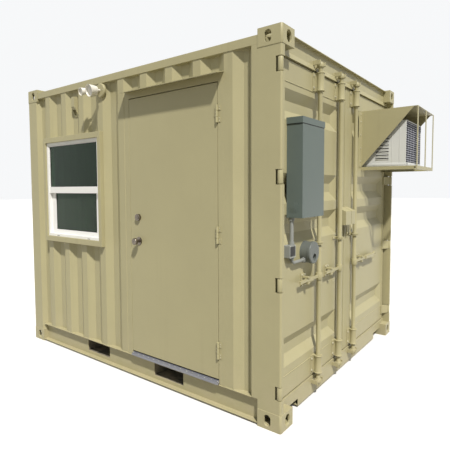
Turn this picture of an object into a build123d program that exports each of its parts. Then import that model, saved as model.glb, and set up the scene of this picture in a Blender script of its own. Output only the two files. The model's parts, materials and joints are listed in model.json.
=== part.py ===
from build123d import *
import math
import os

# A ten-foot steel shipping container made into a cabin, in millimetres.
#
# The sketches below use the container's own grid: X runs along its length towards the cargo
# doors, Y across it (the front, with the house door and window, is at -Y) and Z up from the
# ground. A depth "s" is measured inwards from the outer face of the corner castings.
# save() shifts every piece so that the origin is the middle of the whole cabin's footprint.

# ---------------------------------------------------------------- driving dimensions
LENGTH = 2991.0
WIDTH = 2438.0
HEIGHT = 2591.0
HOOD_REACH = 415.0
LAMP_REACH = 140.0

CASTING_LENGTH = 178.0
CASTING_WIDTH = 162.0
CASTING_HEIGHT = 118.0
CASTING_WALL = 14.0
CASTING_FOOT = 28.0
APERTURE_LENGTH = 124.0
APERTURE_WIDTH = 63.5
APERTURE_SPACING_X = 2787.0
APERTURE_SPACING_Y = 2259.0

FLOOR_TOP = 182.0
FLOOR_THICKNESS = 28.0
FLOOR_BOTTOM = FLOOR_TOP - FLOOR_THICKNESS
WALL_TOP = 2497.0
RAIL_TUBE = 60.0
TUBE_WALL = 4.0
SHEET = 2.0
PLATE = 6.0
RAIL_PLATE = 5.0
SKIN_DEPTH = 10.0
TROUGH_DEPTH = 46.0
POST_FACE_DEPTH = 3.0
RAIL_EDGE_DEPTH = 5.0
CLEARANCE = 5.0
FIT = 0.1
ROD_FIT = 0.5

WAVE_PITCH = 278.0
WAVE_START = 4.0
WAVE_SLOPE = 68.0
WAVE_INNER = 70.0
END_WAVES = 7

POCKET_CENTRE = 450.0
POCKET_WIDTH = 320.0
POCKET_BOTTOM = 50.0
POCKET_TOP = 150.0
TUNNEL_PLATE = 4.0
CROSS_MEMBER_PLACES = (-1210.0, -935.0, -660.0, -230.0, 0.0, 230.0, 660.0, 935.0, 1210.0)
CROSS_MEMBER_WIDTH = 45.0
CROSS_MEMBER_BOTTOM = 32.0

LEFT_WALL_START = -1295.0
DOOR_WALL_END = 1225.0
DOOR_POST_BACK = 1372.0
DOOR_POST_INNER_Y = 1178.0

WINDOW_LEFT = -1190.0
WINDOW_RIGHT = -278.0
WINDOW_BOTTOM = 1072.0
WINDOW_TOP = 2086.0
SURROUND_SIDE = 40.0
SURROUND_HEAD = 50.0
SURROUND_DEPTH = -26.0

DOOR_FRAME_LEFT = 13.0
DOOR_FRAME_RIGHT = 1045.0
DOOR_FRAME_TOP = 2380.0
JAMB_WIDTH = 55.0
HEAD_WIDTH = 62.0
LEAF_LEFT = 73.0
LEAF_RIGHT = 984.0
LEAF_BOTTOM = 222.0
LEAF_TOP = 2311.0
LEAF_THICKNESS = 45.0
DOOR_HINGE_X = 987.0
DOOR_HINGE_HEIGHTS = (432.0, 1258.0, 2098.0)

LEAF_FACE_DEPTH = 70.0
LEAF_DEPTH = 50.0
CARGO_LEAF_BOTTOM = 160.0
CARGO_LEAF_TOP = 2429.0
CARGO_LEAF_INNER = 7.0
CARGO_LEAF_OUTER = 1150.0
PANEL_INNER = 160.0
PANEL_OUTER = 1090.0
PANEL_BOTTOM = 303.0
PANEL_TOP = 2284.0
PANEL_TROUGH_TOPS = (2240.0, 1685.0, 1407.0, 569.0)
PANEL_TROUGH_HEIGHT = 204.0
PANEL_TROUGH_DEPTH = 36.0
PANEL_TROUGH_SLOPE = 68.0
CARGO_HINGE_X = 1473.5
CARGO_HINGE_Y = 1197.0
CARGO_NOTCHES = ((211.0, 305.0), (918.0, 1014.0), (1607.0, 1703.0), (2303.0, 2399.0))
CARGO_NOTCH_X = 1449.0
BARREL_RADIUS = 18.0
HINGE_PIN_RADIUS = 10.0

ROD_RADIUS = 17.0
ROD_DEPTH = 30.0
ROD_BOTTOM = 80.0
ROD_TOP = 2500.0
HANDLE_HEIGHT = 925.0

HEADER_BOTTOM = 2436.0
HEADER_TOP = 2575.0
HEADER_FOLD = 2475.0
SILL_TOP = 150.0
SILL_BOTTOM = 15.0

ENCLOSURE_Y = (-1026.0, -690.0)
ENCLOSURE_Z = (1386.0, 2048.0)
ENCLOSURE_FRONT_DEPTH = -50.0

HOOD_NEAR = 415.0
HOOD_FAR = 1075.0
HOOD_BOTTOM = 1745.0
HOOD_TOP = 2290.0
HOOD_SHEET = 3.0
HOOD_BAR = 30.0

AC_NEAR = 462.0
AC_FAR = 1020.0
AC_BOTTOM = 1783.0
AC_TOP = 2183.0
AC_BACK_X = 1808.0
AC_DEPTH = 600.0
AC_SKIN = 2.0

# ---------------------------------------------------------------- places on the grid
FRONT = -WIDTH / 2
LEFT_END = -LENGTH / 2
DOOR_END = LENGTH / 2
CASTING_INNER_X = DOOR_END - CASTING_LENGTH
CASTING_INNER_Y = WIDTH / 2 - CASTING_WIDTH
ORIGIN_X = HOOD_REACH / 2
ORIGIN_Y = -LAMP_REACH / 2
LEAF_FACE_X = DOOR_END - LEAF_FACE_DEPTH
LEAF_BACK_X = LEAF_FACE_X - LEAF_DEPTH
ROD_X = DOOR_END - ROD_DEPTH
LEAF_FRONT_Y = FRONT + SKIN_DEPTH


# ---------------------------------------------------------------- shapes used all over
def block(xs, ys, zs):
    """A rectangular block between two limits on each axis."""
    limits = (xs, ys, zs)
    sizes = [abs(high - low) for low, high in limits]
    middles = [(high + low) / 2 for low, high in limits]
    return Pos(*middles) * Box(*sizes)


def bar(start, end, radius):
    """A round bar from one point to another."""
    direction = Vector(*end) - Vector(*start)
    plane = Plane(origin=start, z_dir=direction)
    return plane * Cylinder(radius, direction.length, align=(Align.CENTER, Align.CENTER, Align.MIN))


def upright(outline, low, high):
    """An (x, y) outline run up from one height to another."""
    face = Plane.XY.offset(low) * Polygon(*outline, align=None)
    return extrude(face, amount=high - low, dir=(0, 0, 1))


def across(outline, low, high):
    """An (x, z) outline run along Y."""
    face = Plane.XZ.offset(-low) * Polygon(*outline, align=None)
    return extrude(face, amount=high - low, dir=(0, 1, 0))


def lengthwise(outline, low, high):
    """A (y, z) outline run along X."""
    face = Plane.YZ.offset(low) * Polygon(*outline, align=None)
    return extrude(face, amount=high - low, dir=(1, 0, 0))


def strip(path, thickness):
    """The closed outline of a folded sheet: its thickness lies to the left of the path."""
    normals = []
    for start, end in zip(path, path[1:]):
        run = math.dist(start, end)
        normals.append(((start[1] - end[1]) / run, (end[0] - start[0]) / run))
    inner = []
    for index, point in enumerate(path):
        before = normals[max(index - 1, 0)]
        after = normals[min(index, len(normals) - 1)]
        reach = thickness / (1 + before[0] * after[0] + before[1] * after[1])
        across_x = point[0] + (before[0] + after[0]) * reach
        across_y = point[1] + (before[1] + after[1]) * reach
        inner.append((across_x, across_y))
    return path + inner[::-1]


def round_corner(solid, x, y, radius):
    """Rounds the upright edge of a solid that stands at (x, y)."""
    corner = []
    for edge in solid.edges().filter_by(Axis.Z):
        middle = edge.center()
        if math.dist((middle.X, middle.Y), (x, y)) < 0.5:
            corner.append(edge)
    return fillet(corner, radius)


def mirrored_y(*solids):
    """The same pieces on the other side of the cabin."""
    return [mirror(solid, about=Plane.XZ) for solid in solids]


def save(name, *solids):
    """Writes one named piece, moved to the cabin's own origin."""
    moved = [Pos(-ORIGIN_X, -ORIGIN_Y, 0) * solid for solid in solids]
    parts = [part for shape in moved for part in shape.solids()]
    piece = parts[0] if len(parts) == 1 else Compound(children=parts)
    export_step(piece, "parts/" + name + ".step")


os.makedirs("parts", exist_ok=True)


# ---------------------------------------------------------------- corner castings
def bottom_casting():
    """The hollow casting at the front corner beside the cargo doors."""
    xs = (CASTING_INNER_X, DOOR_END)
    ys = (FRONT, FRONT + CASTING_WIDTH)
    casting = block(xs, ys, (0, CASTING_HEIGHT))
    casting = round_corner(casting, DOOR_END, FRONT, CASTING_WALL)
    wall = CASTING_WALL
    inner_xs = (xs[0] + wall, xs[1] - wall)
    inner_ys = (ys[0] + wall, ys[1] - wall)
    chamber = block(inner_xs, inner_ys, (CASTING_FOOT, CASTING_HEIGHT - wall))
    aperture = SlotOverall(APERTURE_LENGTH, APERTURE_WIDTH)
    foot_hole = extrude(Pos(APERTURE_SPACING_X / 2, -APERTURE_SPACING_Y / 2) * aperture, CASTING_FOOT + 1)
    middle = CASTING_HEIGHT / 2
    side_slot = Plane((APERTURE_SPACING_X / 2, FRONT, middle), x_dir=(0, 0, 1), z_dir=(0, 1, 0))
    side_hole = extrude(side_slot * SlotOverall(79, 51), wall + 1)
    end_slot = Plane((DOOR_END, -APERTURE_SPACING_Y / 2, middle), x_dir=(0, 0, 1), z_dir=(-1, 0, 0))
    end_hole = extrude(end_slot * SlotOverall(79, 63.5), wall + 1)
    return casting - chamber - foot_hole - side_hole - end_hole


def corner_castings():
    """Eight castings: four to stand on and four at the roof."""
    casting = bottom_casting()
    front_pair = [casting, mirror(casting, about=Plane.YZ)]
    feet = front_pair + mirrored_y(*front_pair)
    heads = [mirror(foot, about=Plane.XY.offset(HEIGHT / 2)) for foot in feet]
    return feet + heads


save("corner_castings", *corner_castings())


# ---------------------------------------------------------------- corner posts
POST_BOTTOM = CASTING_HEIGHT
POST_TOP = HEIGHT - CASTING_HEIGHT
POST_ROUNDING = 12.0


def stand_on_frame(post, xs, ys):
    """Ends a post on the castings inside (xs, ys), and on the rails outside them."""
    everywhere = block((LEFT_END, DOOR_END), (FRONT, 0), (POST_BOTTOM, FLOOR_TOP))
    over_rails = everywhere - block(xs, ys, (POST_BOTTOM, FLOOR_TOP))
    return post - over_rails - block(xs, ys, (POST_TOP, WALL_TOP))


def left_post():
    """A folded plate round the front corner away from the cargo doors."""
    face_y = FRONT + POST_FACE_DEPTH
    face_x = LEFT_END + POST_FACE_DEPTH
    wall_y = FRONT + TROUGH_DEPTH
    wall_x = LEFT_END + TROUGH_DEPTH
    path = [
        (wall_x, -1016.0),
        (wall_x, -1034.0),
        (face_x, -1067.0),
        (face_x, face_y),
        (-1343.0, face_y),
        (-1310.0, wall_y),
        (LEFT_WALL_START, wall_y),
    ]
    post = round_corner(upright(strip(path, PLATE), POST_BOTTOM, WALL_TOP), face_x, face_y, POST_ROUNDING)
    return stand_on_frame(post, (LEFT_END, -CASTING_INNER_X), (FRONT, FRONT + CASTING_WIDTH))


def door_post():
    """The boxed post at the front corner beside the cargo doors, notched for four hinges."""
    face_y = FRONT + POST_FACE_DEPTH
    face_x = DOOR_END - POST_FACE_DEPTH
    wall_y = FRONT + TROUGH_DEPTH
    path = [
        (DOOR_WALL_END, wall_y),
        (1240.0, wall_y),
        (1270.0, face_y),
        (face_x, face_y),
        (face_x, -DOOR_POST_INNER_Y),
        (DOOR_POST_BACK, -DOOR_POST_INNER_Y),
    ]
    post = round_corner(upright(strip(path, PLATE), POST_BOTTOM, WALL_TOP), face_x, face_y, POST_ROUNDING)
    post = stand_on_frame(post, (CASTING_INNER_X, DOOR_END), (FRONT, FRONT + CASTING_WIDTH))
    inside = (face_y + PLATE, -DOOR_POST_INNER_Y - PLATE)
    post += block((DOOR_POST_BACK, DOOR_POST_BACK + PLATE), inside, (POST_BOTTOM, POST_TOP))
    for low, high in CARGO_NOTCHES:
        post -= block((CARGO_NOTCH_X, DOOR_END), (FRONT, -DOOR_POST_INNER_Y + 1), (low, high))
        lug = (CARGO_NOTCH_X, face_x - PLATE)
        post += block(lug, inside, (low - PLATE, low))
        post += block(lug, inside, (high, high + PLATE))
    return post


save("left_posts", left_post(), *mirrored_y(left_post()))
save("door_posts", door_post(), *mirrored_y(door_post()))


# ---------------------------------------------------------------- rails under the roof
def square_tube(xs, ys, zs, along):
    """A thin-walled tube, open at both ends of the axis it runs along."""
    insets = [0 if axis == along else TUBE_WALL for axis in "xyz"]
    inner = [(low + inset, high - inset) for (low, high), inset in zip((xs, ys, zs), insets)]
    return block(xs, ys, zs) - block(*inner)


def top_rails():
    """The two long rails and the short one at the far end from the cargo doors."""
    zs = (WALL_TOP, WALL_TOP + RAIL_TUBE)
    edge = FRONT + RAIL_EDGE_DEPTH
    side = square_tube((-CASTING_INNER_X, CASTING_INNER_X), (edge, edge + RAIL_TUBE), zs, "x")
    end_edge = LEFT_END + RAIL_EDGE_DEPTH
    end = square_tube((end_edge, end_edge + RAIL_TUBE), (-CASTING_INNER_Y, CASTING_INNER_Y), zs, "y")
    return [side, *mirrored_y(side), end]


save("top_rails", *top_rails())


# ---------------------------------------------------------------- rails at the bottom
def channel_outline(edge, sign):
    """A channel open outwards: `edge` is the outer edge of its flanges, `sign` points inwards."""
    web = edge + sign * 45.0
    lip_bottom, lip_top = 12.0, 20.0
    flange = FLOOR_TOP - RAIL_PLATE
    return [
        (edge, lip_bottom),
        (web, lip_bottom),
        (web, FLOOR_TOP),
        (edge, FLOOR_TOP),
        (edge, flange),
        (web - sign * RAIL_PLATE, flange),
        (web - sign * RAIL_PLATE, lip_top),
        (edge, lip_top),
    ]


def bottom_side_rail():
    """The front rail, with two pockets for a fork-lift truck's forks."""
    outline = channel_outline(FRONT + RAIL_EDGE_DEPTH, 1)
    rail = lengthwise(outline, -CASTING_INNER_X, CASTING_INNER_X)
    for centre in (-POCKET_CENTRE, POCKET_CENTRE):
        half = POCKET_WIDTH / 2
        rail -= block((centre - half, centre + half), (FRONT, FRONT + 60), (POCKET_BOTTOM, POCKET_TOP))
    return rail


def bottom_end_rail():
    """The rail across the end away from the cargo doors."""
    outline = channel_outline(LEFT_END + RAIL_EDGE_DEPTH, 1)
    return across(outline, -CASTING_INNER_Y, CASTING_INNER_Y)


save("bottom_side_rails", bottom_side_rail(), *mirrored_y(bottom_side_rail()))
save("bottom_end_rail", bottom_end_rail())


# ---------------------------------------------------------------- floor and what carries it
RAIL_WEB_Y = WIDTH / 2 - RAIL_EDGE_DEPTH - 45.0


def fork_tunnel(centre):
    """A plate tunnel that joins a front fork pocket to the one behind it."""
    half = POCKET_WIDTH / 2
    outer = (centre - half - TUNNEL_PLATE, centre + half + TUNNEL_PLATE)
    tunnel = block(outer, (-RAIL_WEB_Y, RAIL_WEB_Y), (POCKET_BOTTOM - TUNNEL_PLATE, FLOOR_BOTTOM))
    way = block((centre - half, centre + half), (-RAIL_WEB_Y, RAIL_WEB_Y), (POCKET_BOTTOM, POCKET_TOP))
    return tunnel - way


def cross_member(x):
    """A channel that carries the floor from rail to rail."""
    half = CROSS_MEMBER_WIDTH / 2
    zs = (CROSS_MEMBER_BOTTOM, FLOOR_BOTTOM)
    member = block((x - half, x + half), (-RAIL_WEB_Y, RAIL_WEB_Y), zs)
    gap = (x - half + TUBE_WALL, x + half)
    return member - block(gap, (-RAIL_WEB_Y, RAIL_WEB_Y), (zs[0] + TUBE_WALL, zs[1] - TUBE_WALL))


def floor():
    """Plywood from wall to wall, between the end sheet and the back of the cargo doors."""
    inner = WIDTH / 2 - TROUGH_DEPTH - SHEET - CLEARANCE
    start = LEFT_END + TROUGH_DEPTH + PLATE + CLEARANCE
    return block((start, LEAF_BACK_X - CLEARANCE - 0.5), (-inner, inner), (FLOOR_BOTTOM, FLOOR_TOP))


save("fork_tunnels", fork_tunnel(-POCKET_CENTRE), fork_tunnel(POCKET_CENTRE))
save("cross_members", *[cross_member(x) for x in CROSS_MEMBER_PLACES])
save("floor", floor())


# ---------------------------------------------------------------- corrugated walls
def wave_depth(x):
    """How deep the side sheet lies at x: flat, slope in, flat, slope out, over and over."""
    place = (x - WAVE_START) % WAVE_PITCH
    travel = TROUGH_DEPTH - SKIN_DEPTH
    back = WAVE_SLOPE + WAVE_INNER
    if place < WAVE_SLOPE:
        return SKIN_DEPTH + travel * place / WAVE_SLOPE
    if place < back:
        return TROUGH_DEPTH
    if place < back + WAVE_SLOPE:
        return TROUGH_DEPTH - travel * (place - back) / WAVE_SLOPE
    return SKIN_DEPTH


def wave_path(start, end):
    """The fold points of the side sheet from one x to another, as (x, y)."""
    folds = [start, end]
    first = math.floor((start - WAVE_START) / WAVE_PITCH)
    last = math.ceil((end - WAVE_START) / WAVE_PITCH)
    for wave in range(first, last + 1):
        base = WAVE_START + wave * WAVE_PITCH
        for step in (0, WAVE_SLOPE, WAVE_SLOPE + WAVE_INNER, 2 * WAVE_SLOPE + WAVE_INNER):
            if start + 0.5 < base + step < end - 0.5:
                folds.append(base + step)
    return [(x, FRONT + wave_depth(x)) for x in sorted(folds)]


def side_sheet(start, end, low, high):
    """A stretch of the front wall's corrugated sheet."""
    sheet = upright(strip(wave_path(start, end), SHEET), low, high)
    return sheet & block((start, end), (FRONT, FRONT + 2 * TROUGH_DEPTH), (low, high))


def end_sheet():
    """The corrugated sheet at the end away from the cargo doors."""
    half = 1016.0
    pitch = 2 * half / END_WAVES
    slope = pitch * 0.24
    flat = (pitch - 2 * slope) / 2
    deep = LEFT_END + TROUGH_DEPTH
    proud = LEFT_END + SKIN_DEPTH
    path = [(deep, half)]
    for wave in range(END_WAVES):
        top = half - wave * pitch - flat / 2
        path.append((deep, top))
        path.append((proud, top - slope))
        path.append((proud, top - slope - flat))
        path.append((deep, top - 2 * slope - flat))
    path.append((deep, -half))
    return upright(strip(path, SHEET), FLOOR_TOP, WALL_TOP)


full_height = (FLOOR_TOP, WALL_TOP)
save(
    "front_wall",
    side_sheet(LEFT_WALL_START, WINDOW_LEFT, *full_height),
    side_sheet(WINDOW_RIGHT, DOOR_FRAME_LEFT, *full_height),
    side_sheet(DOOR_FRAME_RIGHT, DOOR_WALL_END, *full_height),
)
save("front_wall_under_window", side_sheet(WINDOW_LEFT, WINDOW_RIGHT, FLOOR_TOP, WINDOW_BOTTOM))
save(
    "front_wall_over_openings",
    side_sheet(WINDOW_LEFT, WINDOW_RIGHT, WINDOW_TOP, WALL_TOP),
    side_sheet(DOOR_FRAME_LEFT, DOOR_FRAME_RIGHT, DOOR_FRAME_TOP, WALL_TOP),
)
save("back_wall", *mirrored_y(side_sheet(LEFT_WALL_START, DOOR_WALL_END, *full_height)))
save("left_end_wall", end_sheet())


# ---------------------------------------------------------------- roof
ROOF_RIBS = 12
ROOF_RIB_HEIGHT = 20.0
ROOF_RIB_LENGTH = 2200.0
ROOF_RIB_TOP = 70.0
ROOF_RIB_SLOPE = 35.0


def pressing(plane, length, width, depth, slope):
    """A shallow box with sloping sides, as a press pushes it into a sheet."""
    mouth = plane * Rectangle(length, width)
    face = plane.offset(depth) * Rectangle(length - 2 * slope, width - 2 * slope)
    return loft([mouth, face], ruled=True)


def roof():
    """One sheet on the rails, between the castings, with ribs pressed up across it."""
    base = WALL_TOP + RAIL_TUBE
    side = WIDTH / 2 - 12.0
    sheet = block((-CASTING_INNER_X, CASTING_INNER_X), (-side, side), (base, base + SHEET))
    header_back = LEAF_FACE_X - RAIL_TUBE
    sheet += block((LEFT_END + 12.0, header_back), (-CASTING_INNER_Y, CASTING_INNER_Y), (base, base + SHEET))
    pitch = 2 * CASTING_INNER_X / ROOF_RIBS
    width = ROOF_RIB_TOP + 2 * ROOF_RIB_SLOPE
    for rib in range(ROOF_RIBS):
        x = -CASTING_INNER_X + (rib + 0.5) * pitch
        under = Plane((x, 0, base))
        over = Plane((x, 0, base + SHEET))
        sheet += pressing(over, width, ROOF_RIB_LENGTH, ROOF_RIB_HEIGHT, ROOF_RIB_SLOPE)
        sheet -= pressing(under, width, ROOF_RIB_LENGTH, ROOF_RIB_HEIGHT, ROOF_RIB_SLOPE)
    return sheet


save("roof", roof())


# ---------------------------------------------------------------- window
def ring(xs, ys, zs, side, head):
    """A rectangular ring facing the front: `side` wide at the sides, `head` at top and bottom."""
    hole = block((xs[0] + side, xs[1] - side), (ys[0] - 1, ys[1] + 1), (zs[0] + head, zs[1] - head))
    return block(xs, ys, zs) - hole


def window_surround():
    """A folded steel surround, hollow behind, that stands proud of the wall."""
    xs = (WINDOW_LEFT, WINDOW_RIGHT)
    zs = (WINDOW_BOTTOM, WINDOW_TOP)
    front = FRONT + SURROUND_DEPTH
    back = FRONT + TROUGH_DEPTH + SHEET
    wall = 4.0
    body = ring(xs, (front, back), zs, SURROUND_SIDE, SURROUND_HEAD)
    inner_xs = (xs[0] + wall, xs[1] - wall)
    inner_zs = (zs[0] + wall, zs[1] - wall)
    side = SURROUND_SIDE - 2 * wall
    head = SURROUND_HEAD - 2 * wall
    hollow = ring(inner_xs, (front + wall, back + 1), inner_zs, side, head)
    return body - hollow


OPENING_X = (WINDOW_LEFT + SURROUND_SIDE, WINDOW_RIGHT - SURROUND_SIDE)
OPENING_Z = (WINDOW_BOTTOM + SURROUND_HEAD, WINDOW_TOP - SURROUND_HEAD)
FRAME_FACE = 27.0
MEETING_RAIL = (1545.0, 1606.0)
BEAD = 8.0
SASH_STILE = 60.0
PANE = 4.0

frame_x = (OPENING_X[0] + FRAME_FACE, OPENING_X[1] - FRAME_FACE)
frame_z = (OPENING_Z[0] + FRAME_FACE, OPENING_Z[1] - FRAME_FACE)
sash_glass_x = (frame_x[0] + SASH_STILE, frame_x[1] - SASH_STILE)
sash_glass_z = (frame_z[0] + 38.0, MEETING_RAIL[0])
fixed_glass_x = (frame_x[0] + BEAD, frame_x[1] - BEAD)
fixed_glass_z = (MEETING_RAIL[1], frame_z[1] - BEAD)


def window_frame():
    """The white outer frame that fills the surround."""
    return ring(OPENING_X, (FRONT - 10, FRONT + 60), OPENING_Z, FRAME_FACE, FRAME_FACE)


def upper_sash():
    """The outer sash, whose bottom bar is the meeting rail."""
    ys = (FRONT - 4, FRONT + 20)
    sash = block(frame_x, ys, (MEETING_RAIL[0], frame_z[1]))
    return sash - block(fixed_glass_x, (ys[0] - 1, ys[1] + 1), fixed_glass_z)


def lower_sash():
    """The inner sash, which stands behind the outer one."""
    ys = (FRONT + 22, FRONT + 48)
    sash = block(frame_x, ys, (frame_z[0], MEETING_RAIL[1]))
    return sash - block(sash_glass_x, (ys[0] - 1, ys[1] + 1), sash_glass_z)


save("window_surround", window_surround())
save("window_frame", window_frame())
save("window_sashes", upper_sash(), lower_sash())
save(
    "window_glass",
    block(fixed_glass_x, (FRONT + 8, FRONT + 8 + PANE), fixed_glass_z),
    block(sash_glass_x, (FRONT + 33, FRONT + 33 + PANE), sash_glass_z),
)


# ---------------------------------------------------------------- house door: frame and trim
STOP_DEPTH = SKIN_DEPTH + LEAF_THICKNESS + CLEARANCE
STOP_THICKNESS = 15.0
STOP_WIDTH = 16.0
FRAME_SHEET = 3.0


def door_frame():
    """A folded steel frame on three sides, hollow towards the room, with a stop for the leaf."""
    xs = (DOOR_FRAME_LEFT, DOOR_FRAME_RIGHT)
    zs = (FLOOR_TOP, DOOR_FRAME_TOP)
    ys = (LEAF_FRONT_Y, FRONT + STOP_DEPTH + STOP_THICKNESS)
    inner_xs = (xs[0] + JAMB_WIDTH, xs[1] - JAMB_WIDTH)
    inner_top = zs[1] - HEAD_WIDTH
    outer = block(xs, ys, zs) - block(inner_xs, ys, (zs[0], inner_top))
    sheet = FRAME_SHEET
    hollow_ys = (ys[0] + sheet, ys[1])
    hollow = block((xs[0] + sheet, xs[1] - sheet), hollow_ys, (zs[0], zs[1] - sheet))
    hollow -= block((inner_xs[0] - sheet, inner_xs[1] + sheet), hollow_ys, (zs[0], inner_top + sheet))
    stop_ys = (FRONT + STOP_DEPTH, ys[1])
    stop = block(inner_xs, stop_ys, (LEAF_BOTTOM, inner_top))
    clear = (inner_xs[0] + STOP_WIDTH, inner_xs[1] - STOP_WIDTH)
    stop -= block(clear, stop_ys, (LEAF_BOTTOM, inner_top - STOP_WIDTH))
    return outer - hollow + stop


DRIP_CAP_LEFT = 29.0
DRIP_CAP_RIGHT = 1045.0
DRIP_CAP_REACH = 78.0
DRIP_CAP_FALL = 25.0
DRIP_CAP_TOP = 2379.0
DRIP_CAP_SHEET = 5.0


def drip_cap():
    """A thin plate over the house door that falls outward and throws rain clear of it."""
    edge = FRONT - DRIP_CAP_REACH
    lip = DRIP_CAP_TOP - DRIP_CAP_FALL
    top = [(LEAF_FRONT_Y, DRIP_CAP_TOP), (edge, lip)]
    under = [(edge, lip - DRIP_CAP_SHEET), (LEAF_FRONT_Y, DRIP_CAP_TOP - DRIP_CAP_SHEET)]
    return lengthwise(top + under, DRIP_CAP_LEFT, DRIP_CAP_RIGHT)


def threshold():
    """The aluminium sill under the leaf, stepped up towards the room."""
    front = FRONT - 4
    outline = [(front, 182), (front, 196), (front + 22, 210), (front + 84, 214), (front + 84, 182)]
    return lengthwise(outline, DOOR_FRAME_LEFT + JAMB_WIDTH, DOOR_FRAME_RIGHT - JAMB_WIDTH)


save("door_frame", door_frame())
save("drip_cap", drip_cap())
save("threshold", threshold())


# ---------------------------------------------------------------- house door: leaf and ironwork
KNOB_X = 170.0
KNOB_Z = 1157.0
DEADBOLT_Z = 1352.0
LEAF_SKIN = 1.5
SPINDLE_RADIUS = 8.0
KNUCKLE_RADIUS = 9.0
KNUCKLE_LENGTH = 120.0
KNUCKLE_GAP = 2.0
DOOR_PIN_RADIUS = 5.0
DOOR_HINGE_Y = LEAF_FRONT_Y - KNUCKLE_RADIUS


def knob_bore(height, radius):
    """The hole through the leaf for a lock at one height."""
    return bar((KNOB_X, FRONT, height), (KNOB_X, FRONT + 80, height), radius)


def door_leaf():
    """A pressed steel leaf, hollow and open along its bottom edge."""
    ys = (LEAF_FRONT_Y, LEAF_FRONT_Y + LEAF_THICKNESS)
    leaf = block((LEAF_LEFT, LEAF_RIGHT), ys, (LEAF_BOTTOM, LEAF_TOP))
    skin = LEAF_SKIN
    inside_xs = (LEAF_LEFT + skin, LEAF_RIGHT - skin)
    inside = block(inside_xs, (ys[0] + skin, ys[1] - skin), (LEAF_BOTTOM, LEAF_TOP - skin))
    return leaf - inside - knob_bore(KNOB_Z, SPINDLE_RADIUS + 1) - knob_bore(DEADBOLT_Z, 16.0)


def knuckle(low, high, side):
    """One barrel of a butt hinge, with the wing that joins it to its side of the gap."""
    barrel = bar((DOOR_HINGE_X, DOOR_HINGE_Y, low), (DOOR_HINGE_X, DOOR_HINGE_Y, high), KNUCKLE_RADIUS)
    near = DOOR_HINGE_X + side * 4.0
    far = DOOR_HINGE_X + side * 30.0
    wing = block((min(near, far), max(near, far)), (DOOR_HINGE_Y + 6, LEAF_FRONT_Y), (low, high))
    bore = bar((DOOR_HINGE_X, DOOR_HINGE_Y, low), (DOOR_HINGE_X, DOOR_HINGE_Y, high), DOOR_PIN_RADIUS + FIT)
    return barrel + wing - bore


def leaf_hinges():
    """The middle knuckle of each hinge, which turns with the leaf."""
    half = KNUCKLE_LENGTH / 6
    return [knuckle(height - half, height + half, -1) for height in DOOR_HINGE_HEIGHTS]


def frame_hinges():
    """The pin of each hinge and the two knuckles that stay on the frame."""
    hinges = []
    half = KNUCKLE_LENGTH / 2
    inner = KNUCKLE_LENGTH / 6 + KNUCKLE_GAP
    for height in DOOR_HINGE_HEIGHTS:
        hinge = knuckle(height - half, height - inner, 1)
        hinge += knuckle(height + inner, height + half, 1)
        low = (DOOR_HINGE_X, DOOR_HINGE_Y, height - half)
        high = (DOOR_HINGE_X, DOOR_HINGE_Y, height + half)
        hinges.append(hinge + bar(low, high, DOOR_PIN_RADIUS))
        for end in (height - inner - 3, height + inner):
            foot = (DOOR_HINGE_X, DOOR_HINGE_Y, end)
            collar = bar(foot, (DOOR_HINGE_X, DOOR_HINGE_Y, end + 3), KNUCKLE_RADIUS)
            hinges[-1] += collar
    return hinges


def knob_profile(face, sign):
    """One round knob with its neck; `sign` points away from the leaf."""
    neck = bar((KNOB_X, face, KNOB_Z), (KNOB_X, face + sign * 30, KNOB_Z), 12.0)
    grip = bar((KNOB_X, face + sign * 24, KNOB_Z), (KNOB_X, face + sign * 57, KNOB_Z), 27.0)
    return neck + fillet(grip.edges().filter_by(GeomType.CIRCLE), 11.0)


def door_knob():
    """Knobs on both faces of the leaf, on one spindle."""
    outside = LEAF_FRONT_Y - 5.5
    inside = LEAF_FRONT_Y + LEAF_THICKNESS + 5.5
    spindle = bar((KNOB_X, outside, KNOB_Z), (KNOB_X, inside, KNOB_Z), SPINDLE_RADIUS)
    return knob_profile(outside, -1) + spindle + knob_profile(inside, 1)


def washer(height, radius, bore, face, sign, thickness):
    """A round cover plate on the leaf, with its hole."""
    start = (KNOB_X, face, height)
    end = (KNOB_X, face + sign * thickness, height)
    return bar(start, end, radius) - bar(start, end, bore)


def door_locks():
    """Cover plates behind the knobs, the deadbolt's cylinder and its inside thumb plate."""
    back = LEAF_FRONT_Y + LEAF_THICKNESS
    plates = [
        washer(KNOB_Z, 33.0, SPINDLE_RADIUS + 1, LEAF_FRONT_Y, -1, 5.0),
        washer(KNOB_Z, 33.0, SPINDLE_RADIUS + 1, back, 1, 5.0),
    ]
    cylinder = bar((KNOB_X, LEAF_FRONT_Y - 24, DEADBOLT_Z), (KNOB_X, back, DEADBOLT_Z), 15.0)
    cylinder += bar((KNOB_X, LEAF_FRONT_Y - 20, DEADBOLT_Z), (KNOB_X, LEAF_FRONT_Y, DEADBOLT_Z), 27.0)
    cylinder += bar((KNOB_X, back, DEADBOLT_Z), (KNOB_X, back + 12, DEADBOLT_Z), 24.0)
    return plates + [cylinder]


save("door_leaf", door_leaf())
save("door_leaf_hinges", *leaf_hinges())
save("door_frame_hinges", *frame_hinges())
save("door_knob", door_knob())
save("door_locks", *door_locks())


# ---------------------------------------------------------------- front wall fixtures
LAMP_Z = 2434.0
LAMP_CANOPY_X = -280.0
LAMP_CANOPY_RADIUS = 60.0
LAMP_CANOPY_FACE = FRONT - 12.0
LAMP_HEADS = (
    # x, z, back, reach, mouth radius, tail radius
    (-371.0, 2423.0, FRONT - 74.0, FRONT - LAMP_REACH + 4.0, 33.0, 25.0),
    (-280.0, 2424.0, FRONT - 46.0, FRONT - 118.0, 52.0, 33.0),
)
LAMP_SHELL = 3.0


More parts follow.
